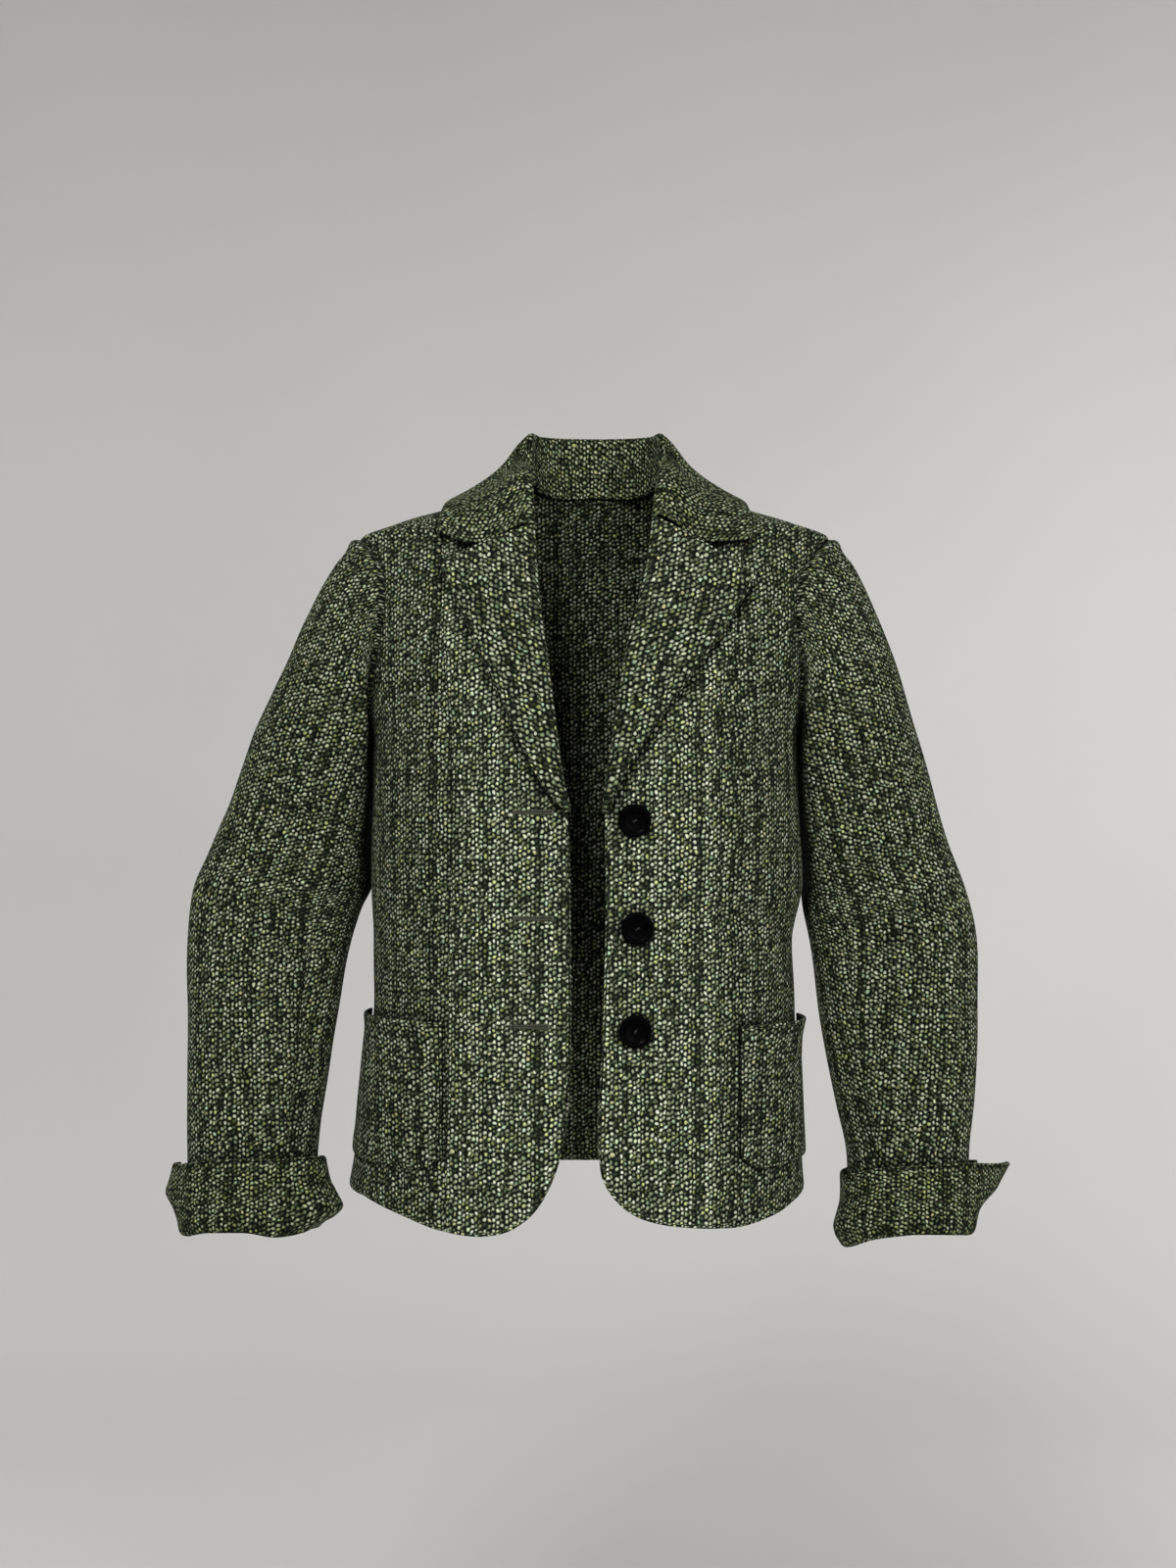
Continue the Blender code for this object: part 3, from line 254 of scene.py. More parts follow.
def lean(p):
    """How far points lie from the body surface, as a share of the section (0 on it)."""
    x, y, z = p[..., 0], p[..., 1], p[..., 2]
    n = np.where(y < 0, FRONT_ROUND, BACK_ROUND)
    depth = np.where(y < 0, section(z, "front"), section(z, "back"))
    a = np.abs(x - section(z, "centre")) / section(z, "half")
    b = np.abs(y) / depth
    return (a**n + b**n + 1e-12) ** (1.0 / n) - 1.0


def slope(p, step=2e-4):
    g = np.zeros_like(p)
    for k in range(3):
        d = np.zeros(3)
        d[k] = step
        g[..., k] = (lean(p + d) - lean(p - d)) / (2 * step)
    return g


def onto(p):
    """Points moved onto the body surface, and the surface's outward direction there."""
    p = np.array(p, float)
    for _ in range(12):
        g = slope(p)
        p = p - g * (lean(p) / np.maximum((g * g).sum(-1), 1e-9))[..., None]
    g = slope(p)
    return p, g / np.linalg.norm(g, axis=-1, keepdims=True)


def front_at(x, z, out=0.0):
    """Points on the front at (x, z), moved out."""
    x, z = np.broadcast_arrays(np.asarray(x, float), np.asarray(z, float))
    a = np.clip(np.abs(x - section(z, "centre")) / section(z, "half"), 0, 1)
    y = -section(z, "front") * (1 - a**FRONT_ROUND) ** (1 / FRONT_ROUND)
    p = np.stack([x, y, z], -1)
    g = slope(p)
    return p + g / np.linalg.norm(g, axis=-1, keepdims=True) * np.asarray(out, float)[..., None]


def resample(line, count, power=1.0):
    """count + 1 points along a line, evenly by length."""
    step = np.linalg.norm(np.diff(line, axis=0), axis=1)
    run = np.concatenate([[0], np.cumsum(step)]) / step.sum()
    want = np.linspace(0, 1, count + 1) ** power
    return np.stack([np.interp(want, run, line[:, k]) for k in range(3)], -1)


def sign(side):
    return -1.0 if side == "right" else 1.0


# ---------------------------------------------------------------- seam lines on the body
def shoulder_line(side, start, stop, count):
    """Along the shoulder seam between two distances from the neck's centre line."""
    z = np.linspace(0.0, TIP_Z, 200)
    half = section(z, "half")
    want = np.linspace(start, stop, count + 1)
    zz = np.interp(want, half, z)
    return np.stack([section(zz, "centre") + sign(side) * want, 0 * zz, zz], -1)


def armhole(side, face, turn):
    """Armhole from the shoulder tip (turn 0) to the underarm (turn 1), front or back."""
    turn = np.asarray(turn, float)
    middle, half = (TIP_Z + ARMPIT_Z) / 2, (TIP_Z - ARMPIT_Z) / 2
    z = middle + half * np.cos(math.pi * turn)
    reach = np.clip(np.sin(math.pi * turn), 0, 1) ** 0.9
    y = -ARM_FRONT * reach if face == "front" else ARM_BACK * reach
    depth = section(z, face)
    n = FRONT_ROUND if face == "front" else BACK_ROUND
    x = section(z, "half") * (1 - (np.abs(y) / depth) ** n) ** (1 / n)
    return np.stack([section(z, "centre") + sign(side) * x, y, z], -1)


def side_line(side, count=60):
    z = np.linspace(SIDE_HEM_Z, ARMPIT_Z, count)
    return np.stack([section(z, "centre") + sign(side) * section(z, "half"), 0 * z, z], -1)


def seam_x(rows, side, z):
    return smooth(column(rows, "z"), column(rows, side), z)


def edge_back(z):
    """How far the front's raw edge sits inside the roll, where the lapel turns over it."""
    return 0.0042 * np.clip((z - BREAK_Z) / 0.03, 0, 1) * np.clip(-z / 0.03 + 0.35, 0, 1)


def front_edge(side, count=80):
    z = np.linspace(HEM[side][0].z, 0.0, count)
    x = seam_x(ROLL, side, z) + sign(side) * edge_back(z)
    x[-1] = section(0.0, "centre") + sign(side) * section(0.0, "half")
    line = front_at(x, z)
    line[-1, 1] = 0.0
    return line


def princess_line(side, count=80):
    """Hem to shoulder; ends where the seam reaches the shoulder line."""
    zs = np.linspace(-0.10, 0.0, 400)
    gap = np.abs(seam_x(PRINCESS, side, zs) - section(zs, "centre")) - section(zs, "half")
    top = zs[np.argmax(gap > 0)]
    z = np.linspace(princess_hem(side), top, count)
    line = front_at(seam_x(PRINCESS, side, z), z)
    line[-1, 1] = 0.0
    return line


def hem_curve(side):
    x, z = column(HEM[side], "x"), column(HEM[side], "z")
    run = np.concatenate([[0], np.cumsum(np.hypot(np.diff(x), np.diff(z)))])
    t = np.linspace(0, run[-1], 160)
    return smooth(run, x, t), smooth(run, z, t)


def princess_hem(side):
    x, z = hem_curve(side)
    k = np.argmin(np.abs(x - PRINCESS[-1]._asdict()[side]))
    return float(z[k])


def hem_line(side, part):
    """Front hem: the centre front's share, or the side front's share to the side seam."""
    x, z = hem_curve(side)
    cut = PRINCESS[-1]._asdict()[side]
    inner = np.abs(x - HEM[side][0].x) <= abs(cut - HEM[side][0].x)
    if part == "centre":
        x, z = np.append(x[inner], cut), np.append(z[inner], princess_hem(side))
        return front_at(x, z)
    x, z = np.insert(x[~inner], 0, cut), np.insert(z[~inner], 0, princess_hem(side))
    line = front_at(x, z)
    end = side_line(side)[0]
    turn = np.linspace(0, 1, 30)[1:, None]
    last = line[-1]
    # round the side: the section's own curve at the hem's height
    zz = last[2] + (end[2] - last[2]) * turn[:, 0]
    ang0 = math.asin(min(1.0, abs(last[1]) / float(section(last[2], "front"))))
    yy = -section(zz, "front") * np.sin(ang0 * (1 - turn[:, 0]))
    ratio = np.clip(np.abs(yy) / section(zz, "front"), 0, 1)
    xx = section(zz, "centre") + sign(side) * section(zz, "half") * (1 - ratio**FRONT_ROUND) ** (1 / FRONT_ROUND)
    return np.vstack([line, np.stack([xx, yy, zz], -1)])


def back_hem():
    t = np.linspace(0, math.pi, 200)
    z = SIDE_HEM_Z + (BACK_HEM_Z - SIDE_HEM_Z) * np.sin(t) ** 2
    x = section(z, "centre") - section(z, "half") * np.sign(np.cos(t)) * np.abs(np.cos(t)) ** (2 / BACK_ROUND)
    y = section(z, "back") * np.sin(t) ** (2 / BACK_ROUND)
    return np.stack([x, y, z], -1)


def neck_line(count):
    """Back neckline from the wearer's right neck point to the left one."""
    t = np.linspace(0, math.pi, 120)
    z = NECK_BACK_Z * np.sin(t) ** 1.2
    y = section(z, "back") * np.sin(t) ** 0.9
    ratio = np.clip(y / section(z, "back"), 0, 1)
    x = -np.sign(np.cos(t)) * section(z, "half") * (1 - ratio**BACK_ROUND) ** (1 / BACK_ROUND)
    return resample(np.stack([x, y, z], -1), count)


# ---------------------------------------------------------------- panels
def coons(bottom, top, left, right):
    """A patch filled in from its four edges."""
    nu, nv = len(bottom), len(left)
    u, v = np.linspace(0, 1, nu)[None, :, None], np.linspace(0, 1, nv)[:, None, None]
    ruled = (1 - v) * bottom[None] + v * top[None] + (1 - u) * left[:, None] + u * right[:, None]
    corners = ((1 - u) * (1 - v) * bottom[0] + u * (1 - v) * bottom[-1]
               + (1 - u) * v * top[0] + u * v * top[-1])
    return ruled - corners


def unwrap(line, face):
    """Body points as (turn, z): turn 0 at the right side seam, half a turn at the left one."""
    x, y, z = line[:, 0], line[:, 1], line[:, 2]
    n = FRONT_ROUND if face == "front" else BACK_ROUND
    a = (section(z, "centre") - x) / section(z, "half")
    b = np.abs(y) / section(z, face)
    return np.stack([np.arctan2(b ** (n / 2), np.sign(a) * np.abs(a) ** (n / 2)), z], -1)


def wrap(turn, z, face):
    """The body point at a turn and height."""
    n = FRONT_ROUND if face == "front" else BACK_ROUND
    c, s = np.cos(turn), np.clip(np.sin(turn), 0, 1)
    x = section(z, "centre") - section(z, "half") * np.sign(c) * np.abs(c) ** (2 / n)
    y = section(z, face) * s ** (2 / n) * (-1 if face == "front" else 1)
    return np.stack([x, y, z], -1)


def flat_coons(bottom, top, left, right, face):
    """Upper body patch, filled in on the front view's (x, z) and set on the surface."""
    grid = coons(*(line[:, [0, 2]] for line in (bottom, top, left, right)))
    x, z = grid[..., 0], grid[..., 1]
    n = FRONT_ROUND if face == "front" else BACK_ROUND
    a = np.clip(np.abs(x - section(z, "centre")) / section(z, "half"), 0, 1)
    y = section(z, face) * (1 - a**n) ** (1 / n) * (-1 if face == "front" else 1)
    out = np.stack([x, y, z], -1)
    out[0], out[-1], out[:, 0], out[:, -1] = bottom, top, left, right
    return out


def round_coons(bottom, top, left, right, face):
    """Lower body patch, filled in on (turn, z) so that it goes evenly round the side."""
    flat = coons(*(unwrap(line, face) for line in (bottom, top, left, right)))
    out = wrap(flat[..., 0], flat[..., 1], face)
    out[0], out[-1], out[:, 0], out[:, -1] = bottom, top, left, right
    return out


def level(start, stop, face, count):
    """Along the body between two points of about the same height."""
    ends = unwrap(np.array([start, stop]), face)
    t = np.linspace(0, 1, 80)[:, None]
    line = ends[0] * (1 - t) + ends[1] * t
    return resample(wrap(line[:, 0], line[:, 1], face), count)


def with_normal(grid):
    normal = slope(grid)
    return grid, normal / np.linalg.norm(normal, axis=-1, keepdims=True)


def trim(grid, sides, amount=SEAM / 2):
    """Pulls the named edges of a grid in by half a seam gap, square to the edge."""
    out = grid.copy()
    for name in sides:
        edge, inside = {"left": (grid[:, 0], grid[:, 1]), "right": (grid[:, -1], grid[:, -2]),
                        "bottom": (grid[0], grid[1]), "top": (grid[-1], grid[-2])}[name]
        along = np.gradient(edge, axis=0)
        along /= np.linalg.norm(along, axis=1, keepdims=True) + 1e-12
        pull = inside - edge
        pull -= (pull * along).sum(1)[:, None] * along
        pull /= np.linalg.norm(pull, axis=1, keepdims=True) + 1e-12
        target = {"left": (slice(None), 0), "right": (slice(None), -1),
                  "bottom": (0, slice(None)), "top": (-1, slice(None))}[name]
        out[target] += pull * amount
    return out


def split_line(line):
    """A line from the hem to the top, in N_LOW parts below the underarm and N_ARM above."""
    k = int(np.argmin(np.abs(line[:, 2] - ARMPIT_Z)))
    return resample(line[:k + 1], N_LOW), resample(line[k:], N_ARM)


def shoulder_part(side, part):
    z = princess_line(side)[-1, 2]
    reach = abs(princess_line(side)[-1, 0] - section(z, "centre"))
    if part == "neck":
        return shoulder_line(side, float(section(0.0, "half")), float(reach), N_FRONT)
    return shoulder_line(side, float(reach), float(section(TIP_Z, "half")), N_SIDE)


def centre_front(side):
    low, high = split_line(princess_line(side, 400))
    edge_low, edge_high = split_line(front_edge(side, 400))
    across = level(edge_low[-1], low[-1], "front", N_FRONT)
    lower = flat_coons(resample(hem_line(side, "centre"), N_FRONT), across, edge_low, low, "front")
    upper = flat_coons(across, shoulder_part(side, "neck"), edge_high, high, "front")
    grid, normal = with_normal(np.vstack([lower, upper[1:]]))
    return trim(grid, ["right", "top"]), normal


def side_front(side):
    low, high = split_line(princess_line(side, 400))
    seam = resample(side_line(side), N_LOW)
    arm = armhole(side, "front", np.linspace(1, 0, N_ARM + 1))
    across = level(low[-1], seam[-1], "front", N_SIDE)
    lower = round_coons(resample(hem_line(side, "side"), N_SIDE), across, low, seam, "front")
    upper = flat_coons(across, shoulder_part(side, "tip"), high, arm, "front")
    grid, normal = with_normal(np.vstack([lower, upper[1:]]))
    return trim(grid, ["left", "right", "top"]), normal


def back():
    turns = np.linspace(1, 0, N_ARM + 1)
    right = np.vstack([shoulder_part("right", "tip")[::-1], shoulder_part("right", "neck")[::-1][1:]])
    left = np.vstack([shoulder_part("left", "neck"), shoulder_part("left", "tip")[1:]])
    top = np.vstack([right, neck_line(N_NECK)[1:-1], left])
    seam_r, seam_l = resample(side_line("right"), N_LOW), resample(side_line("left"), N_LOW)
    across = level(seam_r[-1], seam_l[-1], "back", len(top) - 1)
    lower = round_coons(resample(back_hem(), len(top) - 1), across, seam_r, seam_l, "back")
    upper = flat_coons(across, top, armhole("right", "back", turns), armhole("left", "back", turns), "back")
    grid, normal = with_normal(np.vstack([lower, upper[1:]]))
    return trim(grid, ["left", "right", "top"]), normal


# ---------------------------------------------------------------- sleeves
def ring(row, side, turn):
    """A sleeve section; turn 0 = outer line, 0.5 = towards the body, via the front."""
    tilt, pitch = math.radians(row.tilt), math.radians(row.pitch)
    across = np.array([-sign(side) * math.cos(tilt), 0.0, -math.sin(tilt)])
    outer = np.array([sign(side) * row.x, row.y, row.z])
    centre = outer + across * row.width / 2
    deep = np.array([0.0, -math.cos(pitch), math.sin(pitch)])
    a = 2 * math.pi * turn
    c, s = np.cos(a), np.sin(a)
    e = 2 / SLEEVE_ROUND
    return (centre - across * (np.sign(c) * np.abs(c) ** e)[:, None] * row.width / 2
            + deep * (np.sign(s) * np.abs(s) ** e)[:, None] * row.depth)


def clear_of_body(p, side, gap, share):
    """Sleeve points pushed sideways until they clear the body, all but the armhole's own."""
    x, y, z = p[..., 0], p[..., 1], p[..., 2]
    n = np.where(y < 0, FRONT_ROUND, BACK_ROUND)
    depth = np.where(y < 0, section(z, "front"), section(z, "back"))
    reach = section(z, "half") * (1 - np.clip(np.abs(y) / depth, 0, 1) ** n) ** (1 / n)
    limit = sign(side) * section(z, "centre") + reach + gap
    over = np.maximum(limit - sign(side) * x, 0) * share
    q = p.copy()
    q[..., 0] += sign(side) * over
    return q


def armhole_ring(side, turn):
    """The armhole read round the whole sleeve, moved out to where the sleeve's edge lies."""
    t = np.mod(turn, 1.0)
    front, rear = armhole(side, "front", np.clip(t * 2, 0, 1)), armhole(side, "back", np.clip(2 - t * 2, 0, 1))
    p = np.where((t <= 0.5)[:, None], front, rear)
    down = (TIP_Z - p[:, 2]) / (TIP_Z - ARMPIT_Z)
    move = smooth([0, 0.2, 0.6, 0.85, 1.0], [0.0004, 0.0008, 0.0012, 0.0022, 0.0042], down)
    p[:, 0] += sign(side) * move
    return p


def sleeve(side, turn, along):
    """Sleeve surface: turn round it, along 0 at the armhole to 1 at the wrist."""
    turn = np.asarray(turn, float)
    rows = SLEEVE[side]
    knots = [armhole_ring(side, turn)] + [ring(r, side, turn) for r in rows]
    mid = [k.mean(0) for k in knots]
    run = np.concatenate([[0], np.cumsum([np.linalg.norm(b - a) for a, b in zip(mid, mid[1:])])])
    run[1] = max(run[1], 0.09)
    run[2:] += run[1] - np.linalg.norm(mid[1] - mid[0])
    up = np.cos(2 * math.pi * turn)
    first = np.stack([sign(side) * (0.62 + 0.38 * np.maximum(up, 0)),
                      -0.30 * np.sin(2 * math.pi * turn), -0.30 - 0.70 * np.maximum(-up, 0)], -1)
    first *= (0.55 + 0.45 * np.maximum(up, 0))[:, None] * 0.75
    slopes = [first]
    for i in range(1, len(knots)):
        a, b = max(i - 1, 0), min(i + 1, len(knots) - 1)
        if i == 1:
            slopes.append((knots[2] - knots[1]) / (run[2] - run[1]))
        else:
            slopes.append((knots[b] - knots[a]) / (run[b] - run[a]))
    s = np.asarray(along, float) * run[-1]
    k = int(np.clip(np.searchsorted(run, s) - 1, 0, len(run) - 2))
    h = run[k + 1] - run[k]
    t = (s - run[k]) / h
    p = ((2 * t**3 - 3 * t**2 + 1) * knots[k] + (t**3 - 2 * t**2 + t) * h * slopes[k]
         + (-2 * t**3 + 3 * t**2) * knots[k + 1] + (t**3 - t**2) * h * slopes[k + 1])
    return clear_of_body(p, side, 0.0070, min(1.0, along / 0.05))


# ---------------------------------------------------------------- lapels and collar
def lift(p, out):
    """A point moved out until it stands at least this far off the body."""
    on, normal = onto(p)
    return on + normal * max(out, float(np.dot(p - on, normal)))


# ================================================================ visual model
# ---------------------------------------------------------------- weave coordinates
Z_TABLE, T_TABLE = np.linspace(-0.66, 0.02, 120), np.linspace(0, math.pi, 361)
ARC = {}


def arc_table(face):
    """Length round the body's section from the right side seam, by height and turn."""
    if face not in ARC:
        t, z = np.meshgrid(T_TABLE, Z_TABLE)
        p = wrap(t, z, face)
        step = np.linalg.norm(np.diff(p, axis=1), axis=-1)
        ARC[face] = np.concatenate([np.zeros((len(Z_TABLE), 1)), np.cumsum(step, 1)], 1)
    return ARC[face]


def arc(face, z, turn):
    table = arc_table(face)
    a = np.clip((z - Z_TABLE[0]) / (Z_TABLE[1] - Z_TABLE[0]), 0, len(Z_TABLE) - 1.001)
    b = np.clip((turn - T_TABLE[0]) / (T_TABLE[1] - T_TABLE[0]), 0, len(T_TABLE) - 1.001)
    i, j = a.astype(int), b.astype(int)
    u, v = a - i, b - j
    return ((1 - u) * ((1 - v) * table[i, j] + v * table[i, j + 1])
            + u * ((1 - v) * table[i + 1, j] + v * table[i + 1, j + 1]))


def body_uv(p, anchor, face="front", shift=(0.25, 0.70)):
    """Weave coordinates of body points: across the straight grain at x = anchor, and along it."""
    flat = p.reshape(-1, 3)
    tz = unwrap(flat, face)
    line = front_at(np.full(len(Z_TABLE), anchor), Z_TABLE)
    if face == "back":
        line = line.copy()
        line[:, 1] = section(Z_TABLE, "back")
    start = unwrap(line, face)[:, 0]
    anchor_turn = np.interp(flat[:, 2], Z_TABLE, start)
    u = arc(face, flat[:, 2], tz[:, 0]) - arc(face, flat[:, 2], anchor_turn)
    run = np.concatenate([[0], np.cumsum(np.hypot(np.diff(line[:, 1]), np.diff(Z_TABLE)))])
    run -= np.interp(-0.30, Z_TABLE, run)
    v = np.interp(flat[:, 2], Z_TABLE, run)
    return np.stack([u + shift[0], v + shift[1] - 0.30], -1).reshape(p.shape[:2] + (2,))


# ---------------------------------------------------------------- thin shells
def reach_from(grid, side):
    """Distance of every grid point from one edge, along the grid's own lines."""
    axis = 1 if side in ("left", "right") else 0
    step = np.linalg.norm(np.diff(grid, axis=axis), axis=-1)
    zero = np.zeros((grid.shape[0], 1)) if axis == 1 else np.zeros((1, grid.shape[1]))
    if side in ("left", "bottom"):
        return np.concatenate([zero, np.cumsum(step, axis)], axis)
    back = np.flip(np.cumsum(np.flip(step, axis), axis), axis)
    return np.concatenate([back, zero], axis)


EDGE = {  # edge kind: outward radius, valley depth, valley width, extra thickness
    "seam": (0.0010, 0.0013, 0.0034, 0.0),
    "armhole": (0.0010, 0.0020, 0.0045, 0.0),
    "free": (0.0021, 0.0, 0.0, 0.0009),
    "hem": (0.0021, 0.0, 0.0, 0.0008),
    "fine": (0.0013, 0.0, 0.0, 0.0003),
    "raw": (0.0008, 0.0, 0.0, 0.0),
}
PIECES = {}


def unit(v):
    return v / (np.linalg.norm(v, axis=-1, keepdims=True) + 1e-12)


def edge_out(grid, side, kinds):
    """Directions out of the grid along one edge, as long as the edge's rounding."""
    edge, inside = {"left": (grid[:, 0], grid[:, 1]), "right": (grid[:, -1], grid[:, -2]),
                    "bottom": (grid[0], grid[1]), "top": (grid[-1], grid[-2])}[side]
    along = unit(np.gradient(edge, axis=0))
    out = edge - inside
    out = unit(out - (out * along).sum(-1, keepdims=True) * along)
    return out * kinds[:, None]


def per_point(kind, index, count):
    """An edge's value at each of its points; a kind may be one name or a list by share."""
    if isinstance(kind, str):
        return np.full(count, EDGE[kind][index])
    share = np.linspace(0, 1, count)
    out = np.zeros(count)
    for start, name in kind:
        out[share >= start - 1e-9] = EDGE[name][index]
    soft = np.convolve(np.pad(out, 3, mode="edge"), np.ones(7) / 7, "valid")
    return soft


def shell(name, mid, normal, uv, edges, thick=CLOTH, gap=-0.0004, valley=True):
    """A closed thin shell with rounded edges: outer face, rim, inner face."""
    rows, cols = mid.shape[:2]
    normal = unit(normal)
    mid = mid.copy()
    thickness = np.full((rows, cols), thick)
    for side, kind in edges.items():
        count = rows if side in ("left", "right") else cols
        d = reach_from(mid, side)
        depth, width, extra = (per_point(kind, k, count) for k in (1, 2, 3))
        grow = (lambda a: a[:, None]) if side in ("left", "right") else (lambda a: a[None, :])
        if valley:
            mid = mid - normal * (grow(depth) * np.exp(-(d / np.maximum(grow(width), 1e-4)) ** 2))[..., None]
        thickness = thickness + grow(extra) * np.clip(1.35 - d / 0.012, 0, 1)
    half = thickness / 2
    uv_out = {}
    grid = mid
    outs = {side: edge_out(grid, side, per_point(kind, 0, rows if side in ("left", "right") else cols))
            for side, kind in edges.items()}
    duv = {}
    for side in edges:
        a, b = {"left": (0, 1), "right": (-1, -2), "bottom": (0, 1), "top": (-1, -2)}[side]
        if side in ("left", "right"):
            e, i, ue, ui = grid[:, a], grid[:, b], uv[:, a], uv[:, b]
        else:
            e, i, ue, ui = grid[a], grid[b], uv[a], uv[b]
        duv[side] = (ue - ui) / (np.linalg.norm(e - i, axis=-1, keepdims=True) + 1e-9)
    total = np.zeros_like(mid)
    duvs = np.zeros((rows, cols, 2))
    index = {"left": (slice(None), 0), "right": (slice(None), -1),
             "bottom": (0, slice(None)), "top": (-1, slice(None))}
    for side in edges:
        total[index[side]] += outs[side]
        duvs[index[side]] += duv[side] * np.linalg.norm(outs[side], axis=-1, keepdims=True)
    # the surface stops short of the rim by its radius and the seam gap
    base = mid - total
    for side in edges:
        base[index[side]] -= unit(outs[side]) * (gap if isinstance(edges[side], str) and edges[side] in ("seam", "armhole") else 0)
    outer, inner = base + normal * half[..., None], base - normal * half[..., None]
    ring = ([(0, c) for c in range(cols)] + [(r, cols - 1) for r in range(1, rows)]
            + [(rows - 1, c) for c in range(cols - 2, -1, -1)] + [(r, 0) for r in range(rows - 2, 0, -1)])
    rr, cc = np.array(ring).T
    rim_sets, rim_uv = [], []
    angles = [60, 30, 0, -30, -60]
    for a in angles:
        c, s = math.cos(math.radians(a)), math.sin(math.radians(a))
        rim_sets.append(base[rr, cc] + total[rr, cc] * c + normal[rr, cc] * (half[rr, cc] * s)[:, None])
        rim_uv.append(uv[rr, cc] + duvs[rr, cc] * (math.radians(90 - a)))
    verts = np.concatenate([outer.reshape(-1, 3), inner.reshape(-1, 3)] + rim_sets)
    idx = np.arange(rows * cols).reshape(rows, cols)
    a, b, c, d = idx[:-1, :-1], idx[:-1, 1:], idx[1:, 1:], idx[1:, :-1]
    top = np.stack([a, b, c, d], -1).reshape(-1, 4)
    low = np.stack([a, d, c, b], -1).reshape(-1, 4) + rows * cols
    flat_uv = uv.reshape(-1, 2)
    uv_top = flat_uv[top]
    uv_low = flat_uv[low - rows * cols] + np.array([1.0, 0.0])
    P = len(ring)
    nxt = (np.arange(P) + 1) % P
    loops = [idx[rr, cc]] + [2 * rows * cols + k * P + np.arange(P) for k in range(len(angles))] + [idx[rr, cc] + rows * cols]
    loop_uv = [uv[rr, cc]] + rim_uv + [uv[rr, cc] + duvs[rr, cc] * math.pi]
    rim, uv_rim = [], []
    for k in range(len(loops) - 1):
        p, q = loops[k], loops[k + 1]
        rim.append(np.stack([p[nxt], p, q, q[nxt]], -1))
        uv_rim.append(np.stack([loop_uv[k][nxt], loop_uv[k], loop_uv[k + 1], loop_uv[k + 1][nxt]], 1))
    faces = np.concatenate([top, low] + rim)
    uvs = np.concatenate([uv_top, uv_low] + uv_rim)
    r0, c0 = rows // 2, cols // 2
    turn = np.cross(outer[r0, c0 + 1] - outer[r0, c0], outer[r0 + 1, c0] - outer[r0, c0])
    if np.dot(turn, normal[r0, c0]) < 0:
        faces, uvs = faces[:, ::-1], uvs[:, ::-1]
    return make(name, verts, faces, uvs)


def make(name, verts, faces, uvs=None, tris=None):
    mesh = bpy.data.meshes.new(name)
    mesh.from_pydata(verts.tolist(), [], faces.tolist())
    if uvs is not None:
        layer = mesh.uv_layers.new(name="weave")
        layer.data.foreach_set("uv", (uvs.reshape(-1, 2) * 0.5).astype(np.float32).ravel())
    mesh.polygons.foreach_set("use_smooth", [True] * len(mesh.polygons))
    mesh.update()
    obj = bpy.data.objects.new(name, mesh)
    bpy.context.scene.collection.objects.link(obj)
    return obj


def cloth(name, obj, node, mat):
    obj.data.materials.append(mat)
    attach(obj, "root")
    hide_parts(node)
    PIECES[node] = obj


# ---------------------------------------------------------------- drape and creases
def waves(p, seed, size):
    """Gentle unevenness of worn cloth, the same every run."""
    x, y, z = p[..., 0], p[..., 1], p[..., 2]
    a = (np.sin(x * 41 + z * 9 + seed) * np.sin(z * 17 + seed * 1.7)
         + 0.7 * np.sin(x * 23 - y * 31 + z * 29 + seed * 2.3)
         + 0.5 * np.sin(z * 47 + y * 38 + seed * 0.6) * np.sin(x * 61 + seed)
         + 0.35 * np.sin(x * 97 + z * 71 + seed * 3.1) * np.sin(y * 83 - z * 38 + seed))
    return a * size


Crease = namedtuple("Crease", "view x0 z0 x1 z1 width depth")


def creases(p, normal, rows):
    """Soft troughs (depth > 0) and ridges along short lines laid on the view they show in."""
    out = np.zeros(p.shape[:2])
    for row in rows:
        facing = {"front": -normal[..., 1], "back": normal[..., 1],
                  "outer": np.sign(row.x0 + 1e-9) * normal[..., 0]}[row.view.split("_")[0]]
        a = p[..., 0] if row.view in ("front", "back") else p[..., 1]
        b = p[..., 2]
        x0, z0, x1, z1 = row.x0, row.z0, row.x1, row.z1
        if row.view.startswith("outer"):
            x0, x1 = float(row.view.split("_")[1]), float(row.view.split("_")[2])
        dx, dz = x1 - x0, z1 - z0
        t = np.clip(((a - x0) * dx + (b - z0) * dz) / (dx * dx + dz * dz), 0, 1)
        d = np.hypot(a - x0 - t * dx, b - z0 - t * dz)
        fade = np.clip(facing * 2.2, 0, 1)
        taper = np.sin(math.pi * np.clip(t * 0.8 + 0.1, 0, 1)) ** 0.6
        out -= (1.7 if rows is BODY_CREASES else 3.0) * row.depth * np.exp(-(d / row.width) ** 2) * fade * taper
    return out


